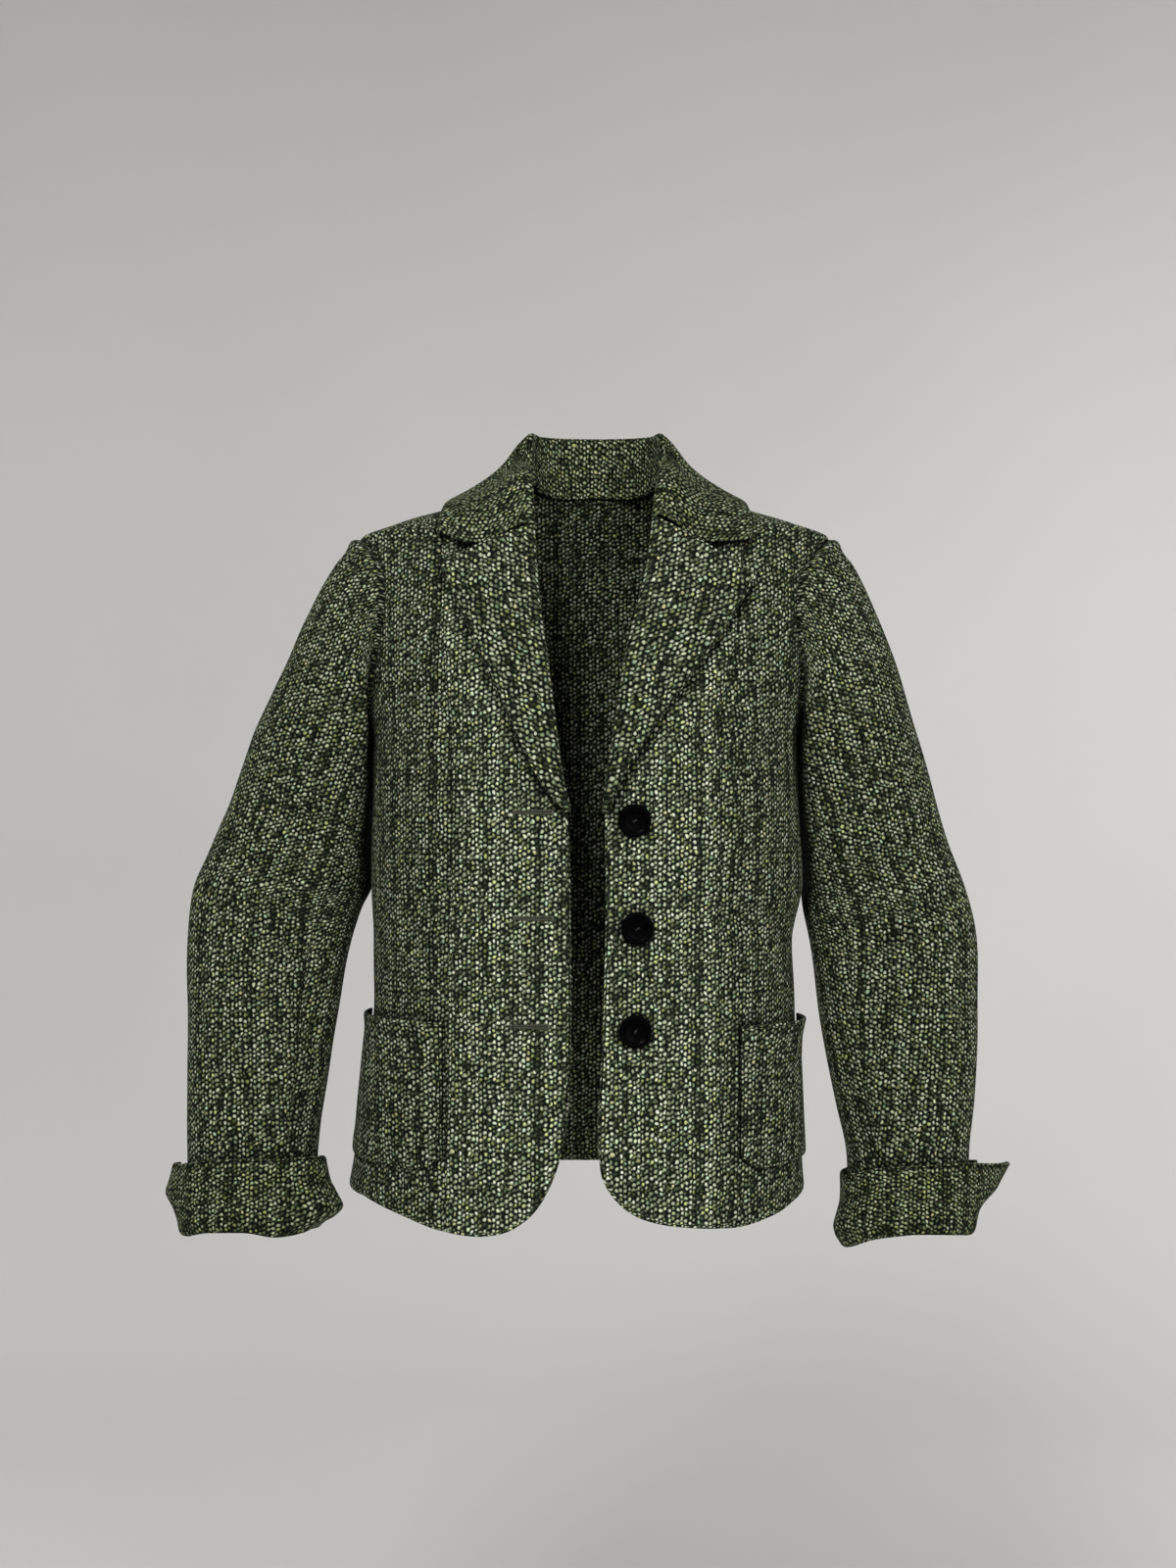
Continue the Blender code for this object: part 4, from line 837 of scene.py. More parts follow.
BODY_CREASES = [
    Crease("front", -0.128, -0.200, -0.095, -0.245, 0.012, 0.0016),
    Crease("front", -0.150, -0.235, -0.118, -0.262, 0.010, 0.0012),
    Crease("front", 0.112, -0.185, 0.082, -0.235, 0.012, 0.0018),
    Crease("front", 0.140, -0.225, 0.110, -0.256, 0.010, 0.0014),
    Crease("front", -0.150, -0.360, -0.100, -0.352, 0.011, 0.0012),
    Crease("front", 0.135, -0.372, 0.075, -0.362, 0.012, 0.0014),
    Crease("front", -0.066, -0.400, -0.070, -0.560, 0.016, 0.0008),
    Crease("front", 0.078, -0.400, 0.076, -0.560, 0.016, 0.0009),
    Crease("front", 0.030, -0.500, 0.026, -0.585, 0.012, -0.0012),
    Crease("front", -0.040, -0.500, -0.046, -0.585, 0.012, -0.0012),
    Crease("back", -0.100, -0.360, -0.020, -0.350, 0.013, 0.0016),
    Crease("back", 0.110, -0.372, 0.030, -0.345, 0.013, 0.0017),
    Crease("back", -0.135, -0.180, -0.100, -0.250, 0.014, 0.0016),
    Crease("back", 0.132, -0.170, 0.098, -0.250, 0.014, 0.0018),
    Crease("back", -0.050, -0.400, -0.065, -0.570, 0.022, 0.0018),
    Crease("back", 0.055, -0.400, 0.072, -0.570, 0.022, 0.0018),
]
# the body sinks a little along the lapel edges and under the open notches
for _side, _deep in (("right", 0.0012), ("left", 0.0019)):
    for _a, _b in zip(LAPEL[_side][:-1], LAPEL[_side][1:]):
        BODY_CREASES.append(Crease("front", _a.x + sign(_side) * 0.0026, _a.z - 0.0012,
                                   _b.x + sign(_side) * 0.0026, _b.z - 0.0012, 0.0052, _deep))
BODY_CREASES += [
    Crease("front", -0.0940, -0.0725, -0.1200, -0.0700, 0.0080, 0.0032),
    Crease("front", 0.0880, -0.0735, 0.1200, -0.0790, 0.0080, 0.0032),
]
SLEEVE_CREASES = {
    "left": [
        Crease("front", 0.252, -0.380, 0.232, -0.392, 0.0060, 0.0026),
        Crease("front", 0.244, -0.412, 0.222, -0.480, 0.0090, 0.0024),
        Crease("front", 0.268, -0.322, 0.205, -0.338, 0.0140, 0.0030),
        Crease("front", 0.292, -0.352, 0.250, -0.366, 0.0100, 0.0022),
        Crease("front", 0.268, -0.372, 0.222, -0.362, 0.0120, -0.0020),
        Crease("front", 0.226, -0.240, 0.196, -0.290, 0.0120, 0.0020),
        Crease("front", 0.262, -0.500, 0.222, -0.520, 0.0110, 0.0016),
        Crease("front", 0.255, -0.560, 0.285, -0.548, 0.0090, 0.0013),
        Crease("back", 0.292, -0.330, 0.232, -0.345, 0.0120, 0.0022),
        Crease("back", 0.300, -0.392, 0.246, -0.380, 0.0110, 0.0022),
        Crease("back", 0.240, -0.170, 0.226, -0.240, 0.0140, 0.0018),
        Crease("back", 0.280, -0.470, 0.238, -0.490, 0.0130, 0.0018),
    ],
    "right": [
        Crease("front", -0.262, -0.283, -0.215, -0.300, 0.0120, 0.0026),
        Crease("front", -0.296, -0.322, -0.246, -0.336, 0.0110, 0.0024),
        Crease("front", -0.278, -0.350, -0.226, -0.345, 0.0130, -0.0018),
        Crease("front", -0.268, -0.376, -0.228, -0.398, 0.0090, 0.0024),
        Crease("front", -0.238, -0.420, -0.226, -0.480, 0.0090, 0.0020),
        Crease("front", -0.232, -0.228, -0.206, -0.268, 0.0120, 0.0018),
        Crease("front", -0.292, -0.500, -0.250, -0.515, 0.0110, 0.0014),
        Crease("front", -0.262, -0.556, -0.300, -0.545, 0.0090, 0.0012),
        Crease("back", -0.306, -0.322, -0.240, -0.340, 0.0120, 0.0022),
        Crease("back", -0.318, -0.392, -0.258, -0.378, 0.0110, 0.0022),
        Crease("back", -0.246, -0.165, -0.232, -0.240, 0.0140, 0.0018),
        Crease("back", -0.300, -0.470, -0.254, -0.488, 0.0130, 0.0018),
    ],
}


BODY_SEED = 2.1


def worn(grid, normal, seed, size=0.00060, rows=BODY_CREASES):
    off = waves(grid, seed, size) + creases(grid, normal, rows)
    return grid + normal * off[..., None]


def dressed(x, z, h=0.0):
    """A point of the worn front, creases and unevenness included."""
    p = np.atleast_2d(front_at(x, z, h))
    n = onto(p)[1]
    q = worn(p[None], n[None], BODY_SEED)[0]
    return q[0] if np.ndim(front_at(x, z, h)) == 1 else q


# ---------------------------------------------------------------- fine pieces of the body
def body_piece(build, anchor, face, seed):
    grid, normal = build
    uv = body_uv(grid, anchor, face)
    grid = worn(grid, normal, seed)
    return grid, normal, uv


# ---------------------------------------------------------------- sleeves
N_ROUND = 112


def up_turn(turns):
    return np.cos(2 * math.pi * turns)


def full_sleeve(side):
    """The whole sleeve as one closed set of columns, smoothed, with normals and weave."""
    turns = np.arange(N_ROUND) / N_ROUND
    alongs = np.linspace(0, 1, 176)
    grid = np.stack([sleeve(side, turns, a) for a in alongs])
    for _ in range(6):
        s = grid.copy()
        s[1:-1] = (grid[:-2] + grid[2:]) / 4 + grid[1:-1] / 2
        s = s / 2 + (np.roll(s, 1, 1) + np.roll(s, -1, 1)) / 4
        weight = np.clip(np.arange(len(alongs)) / 10, 0, 1)[:, None, None]
        grid = grid * (1 - weight) + s * weight
    du = np.roll(grid, -1, 1) - np.roll(grid, 1, 1)
    dv = np.gradient(grid, axis=0)
    normal = unit(np.cross(du, dv) * sign(side))
    centre = grid.mean(1)
    axis = unit(np.gradient(centre, axis=0))
    run = np.concatenate([[0], np.cumsum(np.linalg.norm(np.diff(centre, axis=0), axis=1))])
    v = run[:, None] + ((grid - centre[:, None]) * axis[:, None]).sum(-1) * np.clip(1 - alongs * 1.5, 0.0, 1)[:, None]
    # over the sleeve head the weave follows the true length down each column
    head = 58
    step = np.linalg.norm(np.diff(grid[:head + 1], axis=0), axis=-1)
    v[:head] = v[head][None, :] - np.cumsum(step[::-1], axis=0)[::-1]
    ring_step = np.linalg.norm(np.roll(grid, -1, 1) - grid, axis=-1)
    around = np.concatenate([np.zeros((len(alongs), 1)), np.cumsum(ring_step, 1)], 1)   # 0..N
    # roping at the sleeve head and a soft dip behind it
    lift_row = np.linalg.norm(grid - grid[:1], axis=-1)
    top = np.clip(np.cos(2 * math.pi * turns), 0, 1) ** 0.8
    rope = 0.0024 * np.exp(-((lift_row - 0.0055) / 0.0042) ** 2) - 0.0010 * np.exp(-((lift_row - 0.017) / 0.006) ** 2)
    grid = grid + normal * (rope * top[None, :])[..., None]
    wrinkled = worn(grid, normal, 3.1 if side == "right" else 5.7, 0.00075, SLEEVE_CREASES[side])
    grid = grid + (wrinkled - grid) * np.clip(np.arange(len(alongs)) / 9, 0, 1)[:, None, None]
    # the seam allowance: two rows tucked in under the body's armhole edge
    body_out = unit(slope(grid[0]))
    into = np.array([-sign(side), 0.0, 0.0])
    into = unit(into - (into * body_out).sum(-1, keepdims=True) * body_out)
    into = np.where((up_turn(turns) > 0.25)[:, None], into, unit(np.array([0, 0, -0.4]) + into * 0.6))
    near = grid[0] - body_out * 0.0016 + into * 0.0006
    deep = grid[0] - body_out * 0.0030 + into * 0.0042
    grid = np.concatenate([deep[None], near[None], grid[1:]])
    tilt = unit(body_out + normal[0])
    normal = np.concatenate([body_out[None], tilt[None], normal[1:]])
    around = np.concatenate([around[:1], around[:1], around[1:]])
    v = np.concatenate([v[:1] - 0.004, v[:1], v[1:]])
    return turns, grid, normal, around, v


def sleeve_part(side, piece, whole):
    turns, grid, normal, around, v = whole
    k = N_ROUND // 14
    first, last = (-HIND_SEAM * k, FORE_SEAM * k) if piece == "top" else (FORE_SEAM * k, N_ROUND - HIND_SEAM * k)
    cols = np.arange(first, last + 1)
    m = np.mod(cols, N_ROUND)
    u = around[:, m] + np.where(cols < 0, -around[:, -1:], 0)
    if piece == "under":
        u = u - around[:, [(FORE_SEAM * k + N_ROUND - HIND_SEAM * k) // 2]]
        u = u + 0.17
    else:
        u = u + 0.14
    uv = np.stack([u, 0.72 - v[:, m]], -1)
    return grid[:, m], normal[:, m], uv


# ---------------------------------------------------------------- cuffs
CuffStep = namedtuple("CuffStep", "off up")
CUFF_TURNED = [CuffStep(-0.0030, 0.0150), CuffStep(-0.0032, 0.0040), CuffStep(-0.0026, -0.0012),
               CuffStep(0.0002, -0.0046), CuffStep(0.0036, -0.0046), CuffStep(0.0062, -0.0016),
               CuffStep(0.0072, 0.0050), CuffStep(0.0070, 0.0200), CuffStep(0.0066, 0.0400),
               CuffStep(0.0062, CUFF_TURN)]


FINE_FLARE = {  # extra standing-off round the cuff: low, middle and top of the turn-up
    "right": [FlareRow(0, 0.0010, 0.0150, 0.0050), FlareRow(14, 0.0000, 0.0100, 0.0040), FlareRow(45, 0.0, 0.0010, 0.0004),
              FlareRow(90, 0.0000, 0.0, 0.0), FlareRow(135, 0.0040, 0.0020, 0.0), FlareRow(165, 0.0150, 0.0060, 0.0006),
              FlareRow(190, 0.0160, 0.0070, 0.0010), FlareRow(225, 0.0060, 0.0020, 0.0), FlareRow(290, 0.0010, 0.0, 0.0),
              FlareRow(340, 0.0, 0.0020, 0.0010), FlareRow(352, 0.0, 0.0050, 0.0020)],
    "left": [FlareRow(0, -0.0010, 0.0100, 0.0340), FlareRow(12, 0.0000, 0.0080, 0.0220), FlareRow(34, 0.0, 0.0030, 0.0060),
             FlareRow(80, 0.0, 0.0, 0.0), FlareRow(140, 0.0020, 0.0004, 0.0), FlareRow(180, 0.0060, 0.0010, 0.0),
             FlareRow(220, 0.0030, 0.0, 0.0), FlareRow(300, 0.0, 0.0, 0.0), FlareRow(352, 0.0, 0.0020, 0.0060)],
}


FoldRow = namedtuple("FoldRow", "turn fold top")
CUFF_WAVE = {  # height of the fold and of the turned-up edge round the cuff
    "right": [FoldRow(0, 0.0000, -0.0010), FoldRow(40, 0.0005, -0.0020), FoldRow(75, 0.0042, 0.0010), FoldRow(105, 0.0046, 0.0026),
              FoldRow(132, 0.0006, 0.0022), FoldRow(160, 0.0030, 0.0040), FoldRow(185, 0.0070, 0.0046), FoldRow(225, 0.0040, 0.0020),
              FoldRow(280, 0.0015, 0.0), FoldRow(330, 0.0002, -0.0010), FoldRow(355, 0.0, -0.0020)],
    "left": [FoldRow(0, 0.0064, 0.0030), FoldRow(28, 0.0012, 0.0010), FoldRow(60, 0.0022, 0.0014), FoldRow(95, 0.0030, -0.0004),
             FoldRow(135, 0.0022, -0.0030), FoldRow(160, -0.0030, -0.0070), FoldRow(188, -0.0088, -0.0096), FoldRow(222, -0.0108, -0.0050),
             FoldRow(262, -0.0060, -0.0010), FoldRow(315, 0.0, 0.0010), FoldRow(355, 0.0060, 0.0030)],
}


def fine_cuff(side, whole, across=104, steps=44):
    """The cuff from just inside the sleeve, round the fold and up the outside."""
    turns, grid, normal, around, v = whole
    split = CUFF_SPLIT / 360
    t = np.linspace(-split + 0.002, 1 - split - 0.003, across + 1)
    off0, up0 = column(CUFF_TURNED, "off"), column(CUFF_TURNED, "up")
    run = np.concatenate([[0], np.cumsum(np.hypot(np.diff(off0), np.diff(up0)))])
    want = np.concatenate([np.linspace(0, run[6], 18)[:-1], np.linspace(run[6], run[-1], steps - 17)])
    off, up = smooth(run, off0, want), smooth(run, up0, want)
    angle = (t + split) * 360
    flare = FINE_FLARE[side]
    low, mid, high = (smooth(column(flare, "turn"), column(flare, k), angle) for k in ("low", "mid", "high"))
    fold_up, top_up = (smooth(column(CUFF_WAVE[side], "turn"), column(CUFF_WAVE[side], k), angle) for k in ("fold", "top"))
    length = 0.60
    end, before = sleeve(side, t, 1.0), sleeve(side, t, 0.98)
    axis = unit(end - before)
    e = 0.004
    rows = []
    for o, h in zip(off, up):
        a = 1 - max(h, 0) / length
        p = sleeve(side, t, a)
        du = sleeve(side, t + e, a) - sleeve(side, t - e, a)
        n = unit(np.cross(du, axis) * sign(side))
        share = np.clip(h / CUFF_TURN, 0, 1)
        out = o > 0.003
        extra = (low * np.clip(1 - abs(share - 0.22) / 0.35, 0, 1) * (share > 0.02)
                 + mid * np.clip(1 - abs(share - 0.55) / 0.45, 0, 1) + high * np.clip((share - 0.3) / 0.7, 0, 1)) * out
        ripple = (0.0008 * np.sin(angle / 57.3 * 3 + 1.0) + 0.0005 * np.sin(angle / 57.3 * 7)) * share * out
        near = (1 - share) if out else np.clip(1 - h / 0.012, 0, 1)
        rise = fold_up * near + top_up * share * out
        rows.append(p + n * (o + extra + ripple)[:, None] - axis * min(h, 0) + rise[:, None] * np.array([0, 0, 1.0]))
    g = np.stack(rows)
    g = relax(g, 2)
    # the outside face looks away from the wrist on the turned-up part
    probe = unit(g[-6, 20] - g[-6].mean(0))
    du, dv = np.gradient(g, axis=1), np.gradient(g, axis=0)
    raw = unit(np.cross(du, dv))
    if np.dot(raw[-6, 20], probe) < 0:
        raw = -raw
    u = np.concatenate([[0], np.cumsum(np.linalg.norm(np.diff(g[-1], axis=0), axis=1))])
    uv = np.stack(np.broadcast_arrays(u[None, :] + 0.04, want[:, None] + 0.31), -1)
    return g, raw, uv


def relax(g, times, hold=True):
    for _ in range(times):
        s = g.copy()
        s[1:-1] = g[1:-1] / 2 + (g[:-2] + g[2:]) / 4
        g = s.copy()
        s[:, 1:-1] = g[:, 1:-1] / 2 + (g[:, :-2] + g[:, 2:]) / 4
        g = s
    return g


def smooth_normals(g, facing_point=None, like=None):
    du, dv = np.gradient(g, axis=1), np.gradient(g, axis=0)
    n = unit(np.cross(du, dv))
    r, c = n.shape[0] * 2 // 3, n.shape[1] // 2
    if np.dot(n[r, c], like) < 0:
        n = -n
    return n


# ---------------------------------------------------------------- lapels


def fine_lapel(side, rows=96, across=46):
    """The facing from just behind the roll, round it and out over the front to its edge."""
    s = sign(side)
    roll_z = np.linspace(BREAK_Z, GORGE[side].z, rows + 1)
    roll_x = seam_x(ROLL, side, roll_z)
    ex0, ez0 = column(LAPEL[side], "x"), column(LAPEL[side], "z")
    run = np.concatenate([[0], np.cumsum(np.hypot(np.diff(ex0), np.diff(ez0)))])
    want = np.linspace(0, run[-1], rows + 1)
    ex, ez = smooth(run, ex0, want), smooth(run, ez0, want)
    grid = np.zeros((rows + 1, across + 1, 3))
    uv = np.zeros((rows + 1, across + 1, 2))
    lean_angle = math.radians(8) * -s
    for j in range(rows + 1):
        width = max(abs(ex[j] - roll_x[j]), 0.004)
        turn = min(1.0, width / 0.016)
        # distance out from the roll and height off the body
        d = np.array([0.0085 * turn, 0.0040 * turn, 0.0010, 0.0000, 0.0010 * turn, 0.0038 * turn, 0.30 * width, 0.62 * width, 0.88 * width, width])
        h = np.array([-0.0038, -0.0038, -0.0026, 0.0008 * turn, 0.0040, 0.0056, 0.0066, 0.0068, 0.0060, 0.0054])
        h = h * (0.55 + 0.45 * turn)
        d = np.concatenate([d[:6], np.maximum(d[6:], [0.0040 * turn + 0.0004, 0.0046 * turn + 0.0008, 0.0050 * turn + 0.0012, width])])
        k = np.concatenate([[0], np.cumsum(np.hypot(np.diff(d), np.diff(h)))])
        w = np.concatenate([np.linspace(0, k[5], 15)[:-1], np.linspace(k[5], k[-1], across + 1 - 14)])
        dd, hh = smooth(k, d, w), smooth(k, h, w)
        share = dd / width
        xs = roll_x[j] + (ex[j] - roll_x[j]) * share
        zs = roll_z[j] + (ez[j] - roll_z[j]) * np.clip(share, 0, 1) * (w > k[4])
        grid[j] = front_at(xs, zs, hh)
        u, v = w - k[4], roll_z[j]
        uv[j, :, 0] = 0.20 + (u * math.cos(lean_angle) + (zs - roll_z[j]) * 0)
        uv[j, :, 1] = 0.75 + zs
    grid = relax(grid, 1)
    return grid, smooth_normals(grid, like=(0, -1, 0)), uv


# ---------------------------------------------------------------- collar
def fine_collar(around=168, across=44):
    def front_station(side, share):
        s = sign(side)
        z = GORGE[side].z * (1 - share) - 0.012 * share
        roll = float(seam_x(ROLL, side, z))
        base = front_at(roll + s * 0.0085, z, -0.0034) - np.array([0, 0, 0.0090]) * share
        inner = front_at(roll + s * 0.0010, z + 0.001 * share, -0.0020 - 0.001 * share)
        fold = front_at(roll + s * 0.0000, z + 0.012 * share, 0.0016 + 0.006 * share)
        turned = front_at(roll + s * 0.0035, z + 0.012 * share, 0.0050 + 0.006 * share)
        notch = front_at(NOTCH[side].x, NOTCH[side].z)
        point = front_at(COLLAR_POINT[side].x, COLLAR_POINT[side].z)
        fall = (turned * 0.06 + notch * 0.94 - np.array([0, 0, 0.0008])) * (1 - share) + np.array([s * 0.0780, -0.030, -0.012]) * share
        edge = point * (1 - share) + np.array([s * 0.1200, -0.026, -0.040]) * share
        return base, inner, fold, turned, lift(fall, 0.0064), lift(edge, 0.0056)

    def back_station(row, flip):
        base, fold, fall, edge = (np.array(k) * flip for k in (row.base, row.fold, row.fall, row.edge))
        base = base - np.array([0, 0, 0.0125]) * np.interp(row.turn, [0.42, 0.60, 0.80, 1.00], [1.0, 1.0, 0.55, 0.15])
        out = unit(np.array([fold[0], fold[1] + 0.012, 0.0]))
        inner = base + (fold - base) * 0.72 + out * 0.0004
        turned = fold + out * 0.0058 + np.array([0, 0, -0.0040])
        return base, inner, fold - out * 0.0002 + np.array([0, 0, 0.0006]), turned, fall, lift(edge, 0.0044)

    stations = []
    for side in ("right", "left"):
        half = [(turn,) + front_station(side, share)
                for turn, share in ((0.0, 0.0), (0.09, 0.35), (0.18, 0.7), (0.26, 1.0))]
        for row in COLLAR_BACK:
            if row.turn > 0.9 and side == "left":
                continue
            half.append((row.turn,) + back_station(row, np.array([sign(side), 1, 1])))
        stations.append(half)
    path = [(t, *pts) for t, *pts in stations[0]] + [(2 - t, *pts) for t, *pts in stations[1][::-1]]
    turn = np.array([p[0] for p in path])
    want = np.linspace(0, 2, around + 1)
    lines = [np.stack([smooth(turn, np.array([p[k] for p in path])[:, c], want) for c in range(3)], -1)
             for k in range(1, 7)]
    ctrl = np.stack(lines)                     # control line, station, xyz
    grid = np.zeros((across + 1, around + 1, 3))
    length = np.zeros((across + 1, around + 1))
    for i in range(around + 1):
        pts = ctrl[:, i]
        k = np.concatenate([[0], np.cumsum(np.linalg.norm(np.diff(pts, axis=0), axis=1))])
        w = np.concatenate([np.linspace(0, k[3], 19)[:-1], np.linspace(k[3], k[-1], across + 1 - 18)])
        for c in range(3):
            grid[:, i, c] = smooth(k, pts[:, c], w)
        length[:, i] = w - k[2]
    grid = relax(grid, 3)
    # nothing of the fall sinks into the body
    low = 20
    flat = grid[low:].reshape(-1, 3)
    on, normal = onto(flat)
    high = ((flat - on) * normal).sum(-1)
    raise_by = np.maximum(0.0042 - high, 0)
    raise_by[flat[:, 2] > 0.010] = 0
    grid[low:] = (flat + normal * raise_by[:, None]).reshape(grid[low:].shape)
    mid_line = grid[16]
    u = np.concatenate([[0], np.cumsum(np.linalg.norm(np.diff(mid_line, axis=0), axis=1))])
    uv = np.stack(np.broadcast_arrays(u[None, :] - u[around // 2] + 0.42, 0.30 - length), -1)
    uv[..., 0] = np.maximum(uv[..., 0], 0)
    return grid, smooth_normals(grid, like=(0, 1, 0)), uv


# ---------------------------------------------------------------- pockets
def fine_pocket(side, across=44, rows=48):
    spec, s = POCKET[side], sign(side)
    grid = np.zeros((rows + 1, across + 1, 3))
    u = np.linspace(0, 1, across + 1)
    for j, k in enumerate(np.linspace(0, 1, rows + 1)):
        # rounded lower corners
        round_in = 0.09 * max(0.0, 1 - k / 0.13) ** 2
        z = spec.bottom + (spec.top - spec.bottom) * k
        zz = np.full(across + 1, z)
        corner = (np.clip(1 - u / 0.16, 0, 1) ** 2 + np.clip(1 - (1 - u) / 0.16, 0, 1) ** 2) * 0.012 * max(0.0, 1 - k / 0.22)
        zz = zz + corner
        inner_x = spec.inner
        start = math.acos(min(1.0, (abs(inner_x - float(section(z, "centre"))) / float(section(z, "half"))) ** (FRONT_ROUND / 2)))
        stop = math.asin(min(1.0, (spec.side / float(section(z, "front"))) ** (FRONT_ROUND / 2)))
        a = np.linspace(start, stop, across + 1)
        x = section(zz, "centre") + s * section(zz, "half") * np.cos(a) ** (2 / FRONT_ROUND)
        y = -section(zz, "front") * np.sin(a) ** (2 / FRONT_ROUND)
        p = np.stack([x, y, zz], -1)
        g = unit(slope(p))
        belly = np.sin(math.pi * u) ** 0.8 * math.sin(math.pi * min(k * 0.55 + 0.02, 1)) ** 0.8
        out = 0.0034 + (spec.belly - 0.0030) * belly
        out = out + (spec.mouth - spec.belly + 0.002) * np.sin(math.pi * u) ** 0.8 * max(0.0, k * 3 - 2) ** 1.2
        out = out + 0.0022 * np.sin(math.pi * np.clip(u * 1.1, 0, 1)) ** 0.7 * max(0.0, k * 8 - 7)
        grid[j] = p + g * out[:, None]
    grid = relax(grid, 1)
    uv = body_uv(grid, spec.inner + s * 0.03)
    return grid, smooth_normals(grid, like=(s * 0.5, -1, 0)), uv


# ---------------------------------------------------------------- buttons and buttonholes
def lathe(profile, steps=72):
    """Vertices and faces of a turned closed shape about z; the ends lie on the axis."""
    r, z = np.array(profile).T
    a = np.arange(steps) * 2 * math.pi / steps
    verts = [[0, 0, z[0]]]
    for rr, zz in zip(r[1:-1], z[1:-1]):
        verts += [[rr * math.cos(t), rr * math.sin(t), zz] for t in a]
    verts.append([0, 0, z[-1]])
    n, faces = len(r) - 2, []
    for k in range(steps):
        q = (k + 1) % steps
        faces.append([0, 1 + k, 1 + q])
        for j in range(n - 1):
            a0, b0 = 1 + j * steps, 1 + (j + 1) * steps
            faces.append([a0 + k, b0 + k, b0 + q, a0 + q])
        last = 1 + (n - 1) * steps
        faces.append([last + k, len(verts) - 1, last + q])
    return np.array(verts, float), faces


def tube(path, radius, sides=8):
    """A closed round tube along points."""
    path = np.array(path, float)
    t = unit(np.gradient(path, axis=0))
    up = np.array([0.0, 0.0, 1.0])
    if abs(t[0] @ up) > 0.9:
        up = np.array([1.0, 0, 0])
    a = unit(np.cross(t, up))
    b = np.cross(t, a)
    ang = np.arange(sides) * 2 * math.pi / sides
    taper = np.ones(len(path))
    taper[0] = taper[-1] = 0.35
    ringv = (path[:, None] + radius * taper[:, None, None] * (np.cos(ang)[None, :, None] * a[:, None]
                                                          + np.sin(ang)[None, :, None] * b[:, None]))
    verts = ringv.reshape(-1, 3)
    faces = []
    for i in range(len(path) - 1):
        for k in range(sides):
            q = (k + 1) % sides
            faces.append([i * sides + k, i * sides + q, (i + 1) * sides + q, (i + 1) * sides + k])
    faces.append(list(range(sides))[::-1])
    faces.append([(len(path) - 1) * sides + k for k in range(sides)])
    return verts, faces


def joined(name, parts):
    """One object from several (verts, faces, material index) parts."""
    verts, faces, mats = [], [], []
    for v, f, m in parts:
        base = len(verts)
        verts += v.tolist()
        faces += [[i + base for i in face] for face in f]
        mats += [m] * len(f)
    mesh = bpy.data.meshes.new(name)
    mesh.from_pydata(verts, [], faces)
    mesh.polygons.foreach_set("material_index", mats)
    mesh.polygons.foreach_set("use_smooth", [True] * len(mesh.polygons))
    mesh.update()
    obj = bpy.data.objects.new(name, mesh)
    bpy.context.scene.collection.objects.link(obj)
    return obj


# ---------------------------------------------------------------- materials
class Graph:
    """Short-hand for building a node material."""

    def __init__(self, name):
        self.mat = bpy.data.materials.new(name)
        self.mat.use_nodes = True
        self.tree = self.mat.node_tree
        self.shader = self.tree.nodes["Principled BSDF"]

    def node(self, kind, **settings):
        n = self.tree.nodes.new(kind)
        for key, value in settings.items():
            setattr(n, key, value)
        return n

    def link(self, a, b):
        self.tree.links.new(a, b)

    def feed(self, socket, value):
        if isinstance(value, bpy.types.NodeSocket):
            self.link(value, socket)
        else:
            socket.default_value = value

    def math(self, op, a, b=0.0, c=0.0, clamp=False):
        n = self.node("ShaderNodeMath", operation=op, use_clamp=clamp)
        for socket, value in zip(n.inputs, (a, b, c)):
            self.feed(socket, value)
        return n.outputs[0]

    def span(self, value, a, b, c=0.0, d=1.0, kind="SMOOTHSTEP"):
        n = self.node("ShaderNodeMapRange", interpolation_type=kind)
        for socket, v in zip(n.inputs, (value, a, b, c, d)):
            self.feed(socket, v)
        return n.outputs[0]

    def mix(self, factor, a, b, blend="MIX"):
        n = self.node("ShaderNodeMix", data_type="RGBA", blend_type=blend)
        self.feed(n.inputs[0], factor)
        self.feed(n.inputs[6], a)
        self.feed(n.inputs[7], b)
        return n.outputs[2]

    def join(self, x, y, z=0.0):
        n = self.node("ShaderNodeCombineXYZ")
        for socket, v in zip(n.inputs, (x, y, z)):
            self.feed(socket, v)
        return n.outputs[0]

    def split(self, v):
        n = self.node("ShaderNodeSeparateXYZ")
        self.feed(n.inputs[0], v)
        return n.outputs

    def ramp(self, value, stops, kind="LINEAR"):
        n = self.node("ShaderNodeValToRGB")
        n.color_ramp.interpolation = kind
        e = n.color_ramp.elements
        while len(e) < len(stops):
            e.new(0.5)
        for el, (pos, colour) in zip(e, stops):
            el.position, el.color = pos, (*colour, 1)
        self.feed(n.inputs[0], value)
        return n.outputs[0]


NUB_ACROSS, NUB_ALONG = 0.0034, 0.0041      # pitch of the tweed's nubs
STRIPE = 0.0212                             # spacing of its light and dark stripes
